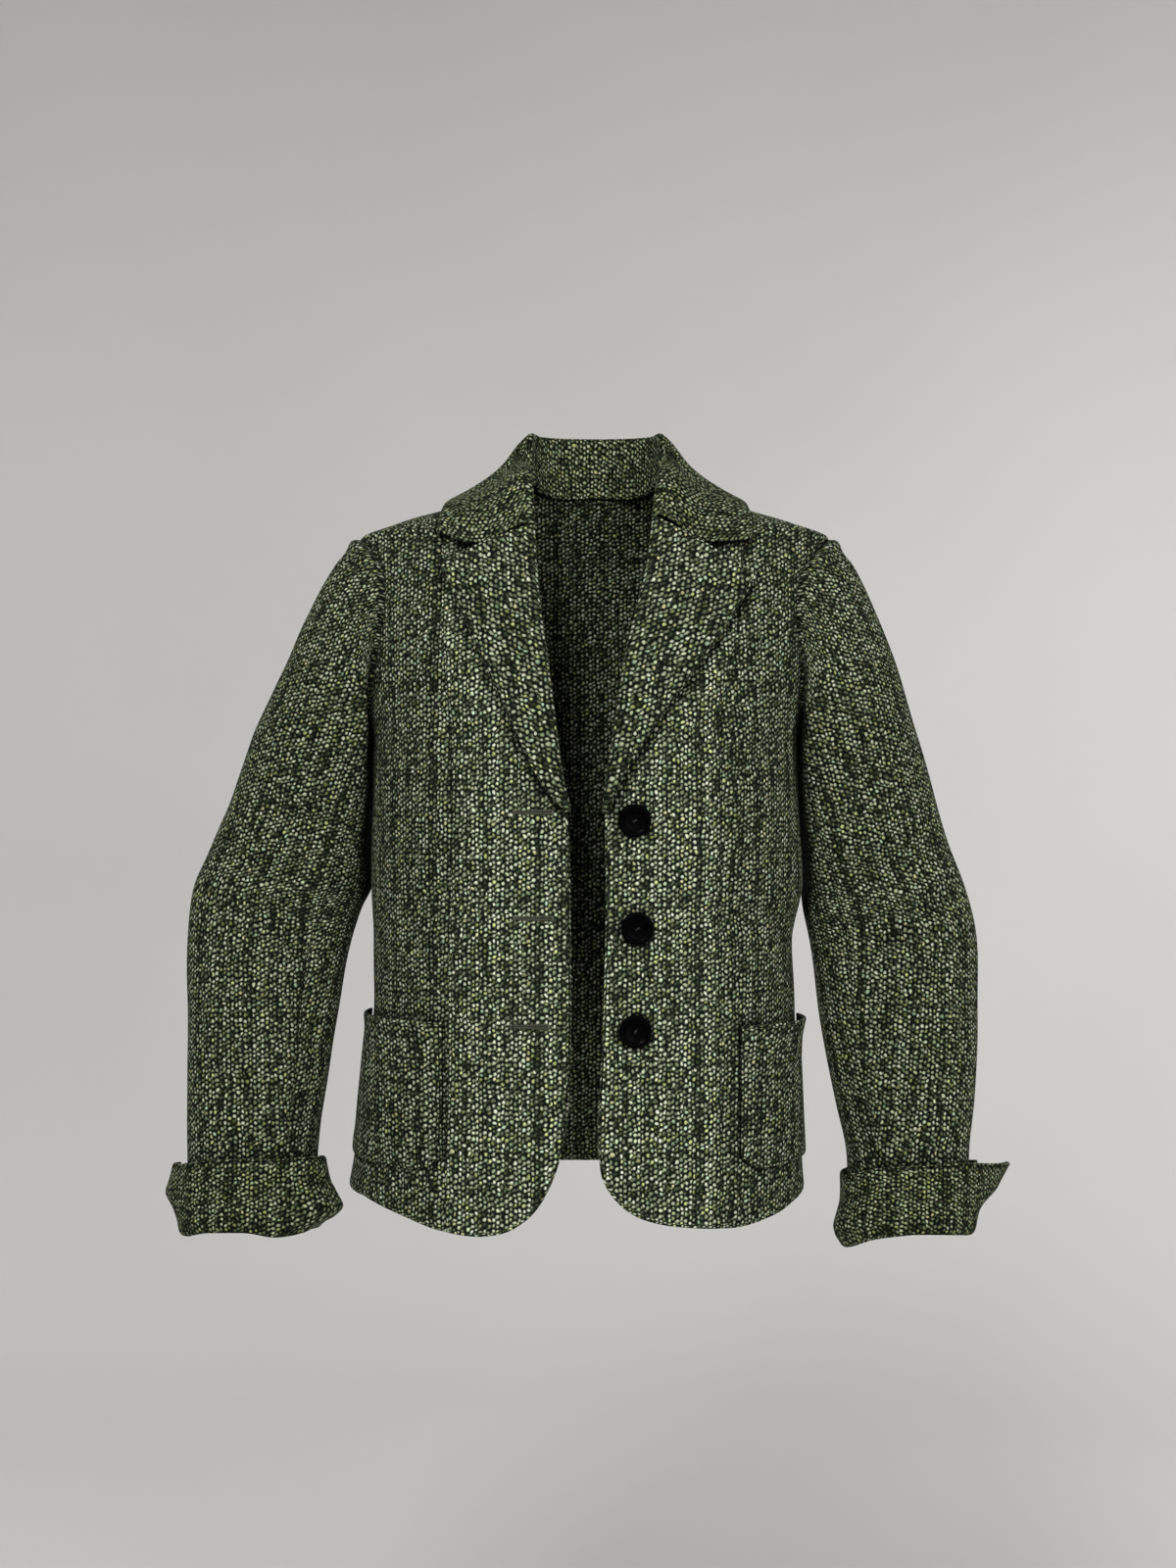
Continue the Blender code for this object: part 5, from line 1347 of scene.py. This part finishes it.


# painted_light_level makes lit and shaded copies of the same tweed: above 1 is painted light, below 1 is painted shade
def tweed(name, seed=0.0, painted_light_level=1.0, tint=(1.0, 1.0, 1.0)):
    g = Graph(name)
    uv = g.node("ShaderNodeUVMap", uv_map="weave").outputs[0]
    scale = g.node("ShaderNodeVectorMath", operation="SCALE")
    g.link(uv, scale.inputs[0])
    scale.inputs[3].default_value = 2.0
    metres = scale.outputs[0]
    # yarns wander a little
    wander = g.node("ShaderNodeTexNoise", noise_dimensions="2D")
    g.link(metres, wander.inputs["Vector"])
    wander.inputs["Scale"].default_value = 95.0
    wander.inputs["Detail"].default_value = 2.0
    wx, wy, _ = g.split(wander.outputs["Color"])
    u0, v0, _ = g.split(metres)
    u = g.math("ADD", u0, g.math("MULTIPLY", g.math("SUBTRACT", wx, 0.5), 0.0038))
    v = g.math("ADD", v0, g.math("MULTIPLY", g.math("SUBTRACT", wy, 0.5), 0.0042))
    # stripes and faint bands
    sway = g.node("ShaderNodeTexNoise", noise_dimensions="2D")
    g.link(metres, sway.inputs["Vector"])
    sway.inputs["Scale"].default_value = 14.0
    sway.inputs["Detail"].default_value = 1.0
    sx, sy, sz = g.split(sway.outputs["Color"])
    wave_u = g.math("SINE", g.math("ADD", g.math("MULTIPLY", u, 2 * math.pi / STRIPE), g.math("MULTIPLY", sx, 2.4)))
    wave_v = g.math("SINE", g.math("ADD", g.math("MULTIPLY", v, 2 * math.pi / (STRIPE * 1.55)), g.math("MULTIPLY", sy, 3.2)))
    lines = g.node("ShaderNodeTexNoise", noise_dimensions="1D")
    g.link(g.math("MULTIPLY", u, 1.0), lines.inputs["W"])
    lines.inputs["Scale"].default_value = 125.0
    lines.inputs["Detail"].default_value = 2.0
    rows = g.node("ShaderNodeTexNoise", noise_dimensions="1D")
    g.link(g.math("ADD", v, 3.7 + seed), rows.inputs["W"])
    rows.inputs["Scale"].default_value = 95.0
    rows.inputs["Detail"].default_value = 2.0
    check = g.math("ADD", g.math("MULTIPLY", wave_u, 0.095), g.math("MULTIPLY", wave_v, 0.022))
    check = g.math("ADD", check, g.math("MULTIPLY", g.math("SUBTRACT", lines.outputs["Fac"], 0.5), 0.85))
    check = g.math("ADD", check, g.math("MULTIPLY", g.math("SUBTRACT", rows.outputs["Fac"], 0.5), 0.26))

    def nubs(shift_u, shift_v, size_u, size_v, key):
        x = g.math("ADD", g.math("DIVIDE", u, NUB_ACROSS), 40.0 + shift_u)
        y = g.math("ADD", g.math("DIVIDE", v, NUB_ALONG), 60.0 + shift_v)
        i = g.math("FLOOR", x)
        y = g.math("ADD", y, g.math("MULTIPLY", g.math("MODULO", i, 2.0), 0.36))
        j = g.math("FLOOR", y)
        cell = g.node("ShaderNodeTexWhiteNoise", noise_dimensions="3D")
        g.link(g.join(i, j, key + seed), cell.inputs["Vector"])
        r, gg, b = g.split(cell.outputs["Color"])
        fx = g.math("SUBTRACT", g.math("SUBTRACT", x, i), g.math("MULTIPLY_ADD", r, 0.30, 0.35))
        fy = g.math("SUBTRACT", g.math("SUBTRACT", y, j), g.math("MULTIPLY_ADD", gg, 0.26, 0.37))
        wide = g.math("MULTIPLY_ADD", b, 0.16, size_u)
        dx = g.math("DIVIDE", fx, wide)
        dy = g.math("DIVIDE", fy, size_v)
        d = g.math("SQRT", g.math("ADD", g.math("MULTIPLY", dx, dx), g.math("MULTIPLY", dy, dy)))
        return d, cell.outputs["Value"], gg

    d1, pick1, extra1 = nubs(0.0, 0.0, 0.31, 0.38, 1.0)
    d2, pick2, extra2 = nubs(0.5, 0.25, 0.22, 0.28, 9.0)
    nub1, nub2 = g.span(d1, 1.14, 0.34), g.span(d2, 1.08, 0.3)
    chosen = g.math("ADD", pick1, check, clamp=True)
    light = g.ramp(chosen, [
        (0.00, (0.030, 0.039, 0.025)), (0.10, (0.070, 0.083, 0.054)), (0.22, (0.145, 0.164, 0.110)),
        (0.42, (0.250, 0.274, 0.194)), (0.62, (0.370, 0.394, 0.298)), (0.82, (0.500, 0.522, 0.412)),
        (1.00, (0.620, 0.634, 0.530))])
    hue = g.ramp(extra1, [(0.0, (1.0, 0.99, 0.97)), (0.50, (0.92, 1.0, 0.90)), (0.70, (0.91, 1.0, 0.80)),
                          (0.83, (0.92, 0.95, 0.54)), (0.91, (1.00, 0.92, 0.66)), (0.95, (0.80, 0.96, 0.90))], "CONSTANT")
    light = g.mix(1.0, light, hue, "MULTIPLY")
    dull = g.ramp(g.math("ADD", pick2, g.math("MULTIPLY", check, 0.8), clamp=True), [
        (0.00, (0.003, 0.005, 0.003)), (0.35, (0.012, 0.016, 0.010)), (0.60, (0.048, 0.058, 0.034)),
        (0.82, (0.115, 0.130, 0.074)), (1.00, (0.215, 0.230, 0.150))])
    fibre = g.node("ShaderNodeTexNoise", noise_dimensions="2D")
    g.link(metres, fibre.inputs["Vector"])
    fibre.inputs["Scale"].default_value = 1500.0
    fibre.inputs["Detail"].default_value = 3.0
    fibre.inputs["Roughness"].default_value = 0.7
    ground = g.ramp(fibre.outputs["Fac"], [(0.30, (0.0018, 0.0026, 0.0018)), (0.70, (0.0085, 0.0110, 0.0075))])
    colour = g.mix(nub2, ground, dull)
    colour = g.mix(nub1, colour, light)
    # fibre flecks, times the copy's painted light level (painted light on the front panels, painted shade on the other
    # pieces)
    fleck_and_painted_light = g.span(fibre.outputs["Fac"], 0.25, 0.75, 0.62 * painted_light_level, 1.30 * painted_light_level, "LINEAR")
    colour = g.mix(1.0, colour, g.join(*(g.math("MULTIPLY", fleck_and_painted_light, k) for k in tint)), "MULTIPLY")
    # painted shade: colour darkened by ambient occlusion in crevices and where pieces meet
    meet = g.node("ShaderNodeAmbientOcclusion", samples=6)
    meet.inputs["Distance"].default_value = 0.013
    painted_crevice_shade = g.span(meet.outputs["AO"], 0.50, 0.97, 0.16, 1.0, "LINEAR")
    colour = g.mix(1.0, colour, g.join(painted_crevice_shade, painted_crevice_shade, painted_crevice_shade), "MULTIPLY")
    g.link(colour, g.shader.inputs["Base Color"])
    height = g.math("ADD", g.math("MULTIPLY", nub1, 0.62),
                    g.math("ADD", g.math("MULTIPLY", nub2, 0.30), g.math("MULTIPLY", fibre.outputs["Fac"], 0.30)))
    bump = g.node("ShaderNodeBump")
    bump.inputs["Strength"].default_value = 0.85
    bump.inputs["Distance"].default_value = 0.0011
    g.link(height, bump.inputs["Height"])
    g.link(bump.outputs[0], g.shader.inputs["Normal"])
    rough = g.span(height, 0.0, 1.0, 0.98, 0.84, "LINEAR")
    g.link(rough, g.shader.inputs["Roughness"])
    g.shader.inputs["Specular IOR Level"].default_value = 0.03
    g.shader.inputs["Sheen Weight"].default_value = 0.015
    g.shader.inputs["Sheen Roughness"].default_value = 0.45
    g.shader.inputs["Sheen Tint"].default_value = (0.75, 0.82, 0.70, 1)
    return g.mat


def black_plastic(name):
    g = Graph(name)
    grain = g.node("ShaderNodeTexNoise")
    g.link(g.node("ShaderNodeTexCoord").outputs["Object"], grain.inputs["Vector"])
    grain.inputs["Scale"].default_value = 420.0
    grain.inputs["Detail"].default_value = 3.0
    g.link(g.ramp(grain.outputs["Fac"], [(0.35, (0.0004, 0.0004, 0.0005)), (0.72, (0.0011, 0.0011, 0.0012))]),
           g.shader.inputs["Base Color"])
    g.link(g.span(grain.outputs["Fac"], 0.3, 0.7, 0.24, 0.36, "LINEAR"), g.shader.inputs["Roughness"])
    g.shader.inputs["Specular IOR Level"].default_value = 0.012
    bump = g.node("ShaderNodeBump")
    bump.inputs["Strength"].default_value = 0.10
    bump.inputs["Distance"].default_value = 0.0002
    g.link(grain.outputs["Fac"], bump.inputs["Height"])
    g.link(bump.outputs[0], g.shader.inputs["Normal"])
    return g.mat


def thread(name, colour):
    g = Graph(name)
    twist = g.node("ShaderNodeTexNoise")
    g.link(g.node("ShaderNodeTexCoord").outputs["Object"], twist.inputs["Vector"])
    twist.inputs["Scale"].default_value = 1400.0
    twist.inputs["Detail"].default_value = 3.0
    dark = tuple(c * 0.45 for c in colour)
    g.link(g.ramp(twist.outputs["Fac"], [(0.32, dark), (0.66, colour)]), g.shader.inputs["Base Color"])
    g.link(g.span(twist.outputs["Fac"], 0.3, 0.7, 0.62, 0.80, "LINEAR"), g.shader.inputs["Roughness"])
    bump = g.node("ShaderNodeBump")
    bump.inputs["Strength"].default_value = 0.5
    bump.inputs["Distance"].default_value = 0.0002
    g.link(twist.outputs["Fac"], bump.inputs["Height"])
    g.link(bump.outputs[0], g.shader.inputs["Normal"])
    g.shader.inputs["Specular IOR Level"].default_value = 0.2
    return g.mat


def plain(name, colour, amount):
    g = Graph(name)
    cloud = g.node("ShaderNodeTexNoise")
    g.link(g.node("ShaderNodeTexCoord").outputs["Object"], cloud.inputs["Vector"])
    cloud.inputs["Scale"].default_value = 1.3
    cloud.inputs["Detail"].default_value = 2.0
    low = tuple(c * (1 - amount) for c in colour)
    g.link(g.ramp(cloud.outputs["Fac"], [(0.3, low), (0.7, colour)]), g.shader.inputs["Base Color"])
    g.shader.inputs["Roughness"].default_value = 0.95
    g.shader.inputs["Specular IOR Level"].default_value = 0.1
    return g.mat


# ---------------------------------------------------------------- building the jacket
Cut = namedtuple("Cut", "width length area")


def lay(name, node, mid, normal, uv, edges, mat, thick=CLOTH):
    obj = shell(name, mid, normal, uv, edges, thick)
    cloth(name, obj, node, mat)
    return obj


def buttonhole(x, z, length=0.0275):
    """A worked buttonhole: satin stitches all round a fine slit, on the right front."""
    parts = []
    half = length / 2
    reach = x + np.array([-half, 0.0, half])
    shift = np.array([dressed(a, z) - front_at(a, z) for a in reach])

    def near(a, b):
        return front_at(a, b) + np.array([np.interp(a, reach, shift[:, c]) for c in range(3)])

    centre = near(x, z)
    ex = unit(near(x + 0.002, z) - near(x - 0.002, z))
    on, n = onto(centre[None])
    n = n[0]
    ez = np.cross(n, ex)
    ez = ez if ez[2] > 0 else -ez
    lift_off = CLOTH / 2 + 0.0002
    count = 46
    for row in (1, -1):
        for k in range(count):
            t = -half + length * (k + 0.5) / count
            wobble = 0.00022 * math.sin(k * 2.7 + row)
            tall = 0.0012 + 0.0013 * (k / count) + 0.0002 * math.sin(k * 1.9 + row * 2)
            p = [(t + wobble * 0.4, row * 0.00016, 0.0000), (t, row * 0.0006, 0.00048),
                 (t + wobble * 0.5, row * tall * 0.7, 0.00052), (t + wobble, row * tall, -0.0001)]
            path = []
            for a, b, c in p:
                q = near(centre[0] + ex[0] * a, centre[2] + b)
                path.append(q + n * (lift_off + c))
            v, f = tube(path, 0.00036, 6)
            parts.append((v, f, 0))
    # stitches fan round the outer end, a bar closes the inner one
    for k in range(9):
        ang = -math.pi / 2 + math.pi * (k + 0.5) / 9
        path = []
        for r, c in ((0.0004, 0.0), (0.0011, 0.00050), (0.0024, -0.0001)):
            q = near(centre[0] + half + r * math.cos(ang), centre[2] + r * math.sin(ang))
            path.append(q + n * (lift_off + c))
        v, f = tube(path, 0.00036, 6)
        parts.append((v, f, 0))
    for k in range(4):
        a = -half - 0.0004 - 0.0005 * k
        path = [near(centre[0] + a, centre[2] + b) + n * (lift_off + c)
                for b, c in ((-0.0022, -0.0001), (-0.001, 0.00055), (0.001, 0.00055), (0.0022, -0.0001))]
        v, f = tube(path, 0.00036, 6)
        parts.append((v, f, 0))
    # the slit itself: a near-black flattened tube sunk between the stitches, painted shadow of the cut
    path = [near(centre[0] + a, centre[2] + 0.00012 * math.sin(a * 900)) + n * (lift_off - 0.00002)
            for a in np.linspace(-half * 0.96, half * 0.98, 16)]
    v, f = tube(path, 0.00042, 6)
    parts.append((v, f, 1))
    return parts


def build_jacket():
    # lit and shaded copies of one tweed: painted light (1.16) on the front panels, painted shade (0.73 to 0.90) on the
    # back, side fronts, pockets, sleeves, lapels, collar and cuffs
    mats = {k: tweed("tweed_" + k, s, t, c) for k, s, t, c in (
        ("body", 0.0, 1.16, (1.0, 1.05, 1.00)), ("side", 2.0, 0.84, (1.0, 1.05, 0.98)),
        ("sleeves", 4.0, 0.80, (1.0, 1.05, 0.95)), ("lapels", 8.0, 0.90, (1.0, 1.05, 0.98)),
        ("trim", 8.0, 0.73, (1.0, 1.05, 0.88)))}
    body, arm, trim_mat = mats["body"], mats["sleeves"], mats["trim"]

    # back
    grid, normal, uv = body_piece(back(), -0.004, "back", BODY_SEED)
    rows = grid.shape[0]
    low_share = N_LOW / (N_LOW + N_ARM)
    side_kind = [(0.0, "seam"), (low_share, "armhole")]
    lay("cloth_back", "back", grid, normal, uv,
        {"left": side_kind, "right": side_kind, "bottom": "hem", "top": "seam"}, mats["side"])

    for side in ("right", "left"):
        s = sign(side)
        grid, normal, uv = body_piece(centre_front(side), s * 0.062, "front", BODY_SEED)
        z0 = grid[0, 0, 2]
        share = float(np.argmax(grid[:, 0, 2] > BREAK_Z + 0.004)) / (rows - 1)
        if side == "right":
            holes = []
            for x, z in ((-0.0480, -0.2825), (-0.0480, -0.3640), (-0.0510, -0.4475)):
                holes += buttonhole(x, z)
            stitching = joined("stitching_buttonholes", holes)
            stitching.data.materials.append(thread("thread_sage", (0.118, 0.126, 0.088)))
            # near-black material of the slit tube: painted shadow of the buttonhole's cut
            stitching.data.materials.append(thread("thread_slit", (0.016, 0.018, 0.014)))
            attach(stitching, "root")
        lay("cloth_front_" + side, "front_" + side, grid, normal, uv,
            {"left": [(0.0, "free"), (share, "raw")], "right": "seam", "bottom": "hem", "top": "seam"},
            body)

        grid, normal, uv = body_piece(side_front(side), s * 0.142, "front", BODY_SEED)
        lay("cloth_side_front_" + side, "side_front_" + side, grid, normal, uv,
            {"left": "seam", "right": side_kind, "bottom": "hem", "top": "seam"}, mats["side"])

        whole = full_sleeve(side)
        for piece in ("top", "under"):
            grid, normal, uv = sleeve_part(side, piece, whole)
            lay(f"cloth_sleeve_{piece}_{side}", f"sleeve_{piece}_{side}", grid, normal, uv,
                {"left": "seam", "right": "seam", "bottom": "raw", "top": "raw"}, arm)
        grid, normal, uv = fine_cuff(side, whole)
        lay("cloth_cuff_" + side, "cuff_" + side, grid, normal, uv,
            {"left": "free", "right": "free", "bottom": "raw", "top": "free"}, trim_mat,
            thick=0.0026)

        grid, normal, uv = fine_lapel(side)
        lay("cloth_lapel_" + side, "lapel_" + side, grid, normal, uv,
            {"left": "raw", "right": "free", "bottom": "fine", "top": "fine"}, mats["lapels"],
            thick=0.0034)

        grid, normal, uv = fine_pocket(side)
        grid = worn(grid, normal, BODY_SEED)
        lay("cloth_pocket_" + side, "pocket_" + side, grid, normal, uv,
            {"left": "fine", "right": "fine", "bottom": "fine", "top": "free"}, mats["side"],
            thick=0.0019)

    grid, normal, uv = fine_collar()
    lay("cloth_collar", "collar", grid, normal, uv,
        {"left": "fine", "right": "fine", "bottom": "raw", "top": "free"}, trim_mat,
        thick=0.0036)


def build_buttons():
    black, dark = black_plastic("button_black"), thread("thread_black", (0.022, 0.022, 0.024))
    r, t = BUTTON_D / 2, BUTTON_T / 2
    profile = [(0, t * 0.20), (r * 0.30, t * 0.22), (r * 0.52, t * 0.30), (r * 0.66, t * 0.48), (r * 0.745, t * 0.80),
               (r * 0.80, t * 0.985), (r * 0.86, t * 1.0), (r * 0.93, t * 0.93), (r * 0.98, t * 0.66), (r, t * 0.20),
               (r * 0.992, -t * 0.25), (r * 0.95, -t * 0.70), (r * 0.86, -t * 0.97), (r * 0.3, -t), (0, -t)]
    for row, spin in zip(BUTTONS, (0.55, 0.62, 1.05)):
        inner = dressed(row.x, row.z)
        centre = front_at(row.x, row.z, CLOTH / 2 + 0.0010 + BUTTON_T / 2) + inner - front_at(row.x, row.z)
        parts = [(*lathe(profile), 0)]
        # two sewing hollows with the thread lying slanted between them
        for k in (-1, 1):
            dish = [(0, t * 0.02), (0.0006, t * 0.04), (0.0010, t * 0.16), (0.00125, t * 0.255), (0.0015, t * 0.27),
                    (0.0016, t * 0.10), (0.0008, -t * 0.2), (0, -t * 0.2)]
            v, f = lathe(dish, 24)
            parts.append((v + np.array([k * 0.0017 * math.cos(spin), k * 0.0017 * math.sin(spin), 0]), f, 0))
        for k in (-1, 0, 1):
            off = np.array([-math.sin(spin), math.cos(spin), 0]) * 0.00042 * k
            path = [off + np.array([math.cos(spin) * a, math.sin(spin) * a, h])
                    for a, h in ((-0.0019, 0.0000), (-0.0014, t * 0.40), (0, t * 0.52), (0.0014, t * 0.40), (0.0019, 0.0))]
            v, f = tube(path, 0.00030, 8)
            parts.append((v, f, 1))
        # sewn shank under the button
        v, f = lathe([(0, -t * 0.9), (0.0014, -t * 0.9), (0.0016, -t - 0.0006), (0.0018, -t - 0.0010), (0, -t - 0.0010)], 24)
        parts.append((v, f[:], 1))
        obj = joined("disc_" + row.name, parts)
        obj.data.materials.append(black)
        obj.data.materials.append(dark)
        out = Vector(centre - inner).normalized()
        turn = Matrix.Translation(Vector(centre)) @ out.to_track_quat("Z", "Y").to_matrix().to_4x4()
        obj.data.transform(turn)
        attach(obj, "root")
        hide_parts(row.name)


# ---------------------------------------------------------------- stage, light and camera
def build_stage():
    radius, floor, bend, top = 3.3, -1.45, 1.1, 2.4
    profile = [(0.0, floor), (radius - bend, floor)]
    profile += [(radius - bend + bend * math.sin(a), floor + bend - bend * math.cos(a))
                for a in np.linspace(0.08, math.pi / 2, 22)]
    profile += [(radius, z) for z in np.linspace(floor + bend + 0.1, top, 12)]
    steps = 128
    verts, faces = [(0, 0, floor)], []
    for r, z in profile[1:]:
        verts += [(r * math.cos(2 * math.pi * k / steps), r * math.sin(2 * math.pi * k / steps), z) for k in range(steps)]
    for k in range(steps):
        q = (k + 1) % steps
        faces.append((0, 1 + k, 1 + q))
        for j in range(len(profile) - 2):
            a, b = 1 + j * steps, 1 + (j + 1) * steps
            faces.append((a + k, b + k, b + q, a + q))
    mesh = bpy.data.meshes.new("studio_floor")
    mesh.from_pydata(verts, [], faces)
    mesh.polygons.foreach_set("use_smooth", [True] * len(mesh.polygons))
    obj = bpy.data.objects.new("studio_floor", mesh)
    bpy.context.scene.collection.objects.link(obj)
    mesh.materials.append(plain("paper_pale", (0.665, 0.66, 0.645), 0.03))


def lamp(name, place, target, size, power, colour=(1, 1, 1)):
    data = bpy.data.lights.new(name, "AREA")
    data.shape, data.size, data.size_y = "RECTANGLE", size[0], size[1]
    data.energy, data.color = power, colour
    obj = bpy.data.objects.new(name, data)
    bpy.context.scene.collection.objects.link(obj)
    obj.location = place
    obj.rotation_euler = (Vector(target) - Vector(place)).to_track_quat("-Z", "Y").to_euler()
    return obj


def build_light():
    lamp("softbox_front", (-0.62, -2.40, 1.38), (0, 0, -0.33), (0.65, 0.65), 64)
    lamp("softbox_fill", (1.20, -2.35, 0.15), (0, 0, -0.33), (1.4, 1.4), 32)
    lamp("softbox_right", (2.4, -1.2, 1.1), (0, 0.2, -0.2), (0.9, 1.3), 6)
    lamp("softbox_top", (-0.3, 0.1, 2.2), (0, 0.1, -0.3), (1.2, 1.2), 7)
    lamp("softbox_back", (-1.0, 2.5, 0.9), (0, 0, -0.3), (1.6, 1.6), 15)
    lamp("wash_right", (1.30, 0.90, 0.10), (1.25, 3.3, 0.05), (1.1, 1.6), 16)
    lamp("wash_left", (-1.50, 0.90, -0.55), (-1.3, 3.3, -0.5), (1.1, 1.4), 3)
    world = bpy.data.worlds.new("studio")
    bpy.context.scene.world = world
    world.use_nodes = True
    world.node_tree.nodes["Background"].inputs[0].default_value = (0.88, 0.89, 0.90, 1)
    world.node_tree.nodes["Background"].inputs[1].default_value = 0.06
    bpy.context.scene.view_settings.view_transform = "Standard"


def build_camera():
    data = bpy.data.cameras.new("camera")
    data.lens, data.sensor_width = 45.0, 36.0
    cam = bpy.data.objects.new("camera", data)
    bpy.context.scene.collection.objects.link(cam)
    cam.location = (-0.0065, -1.63, -0.261)
    cam.rotation_euler = (math.radians(90), 0, 0)
    bpy.context.scene.camera = cam


build_camera()
build_stage()
build_light()
build_jacket()
build_buttons()
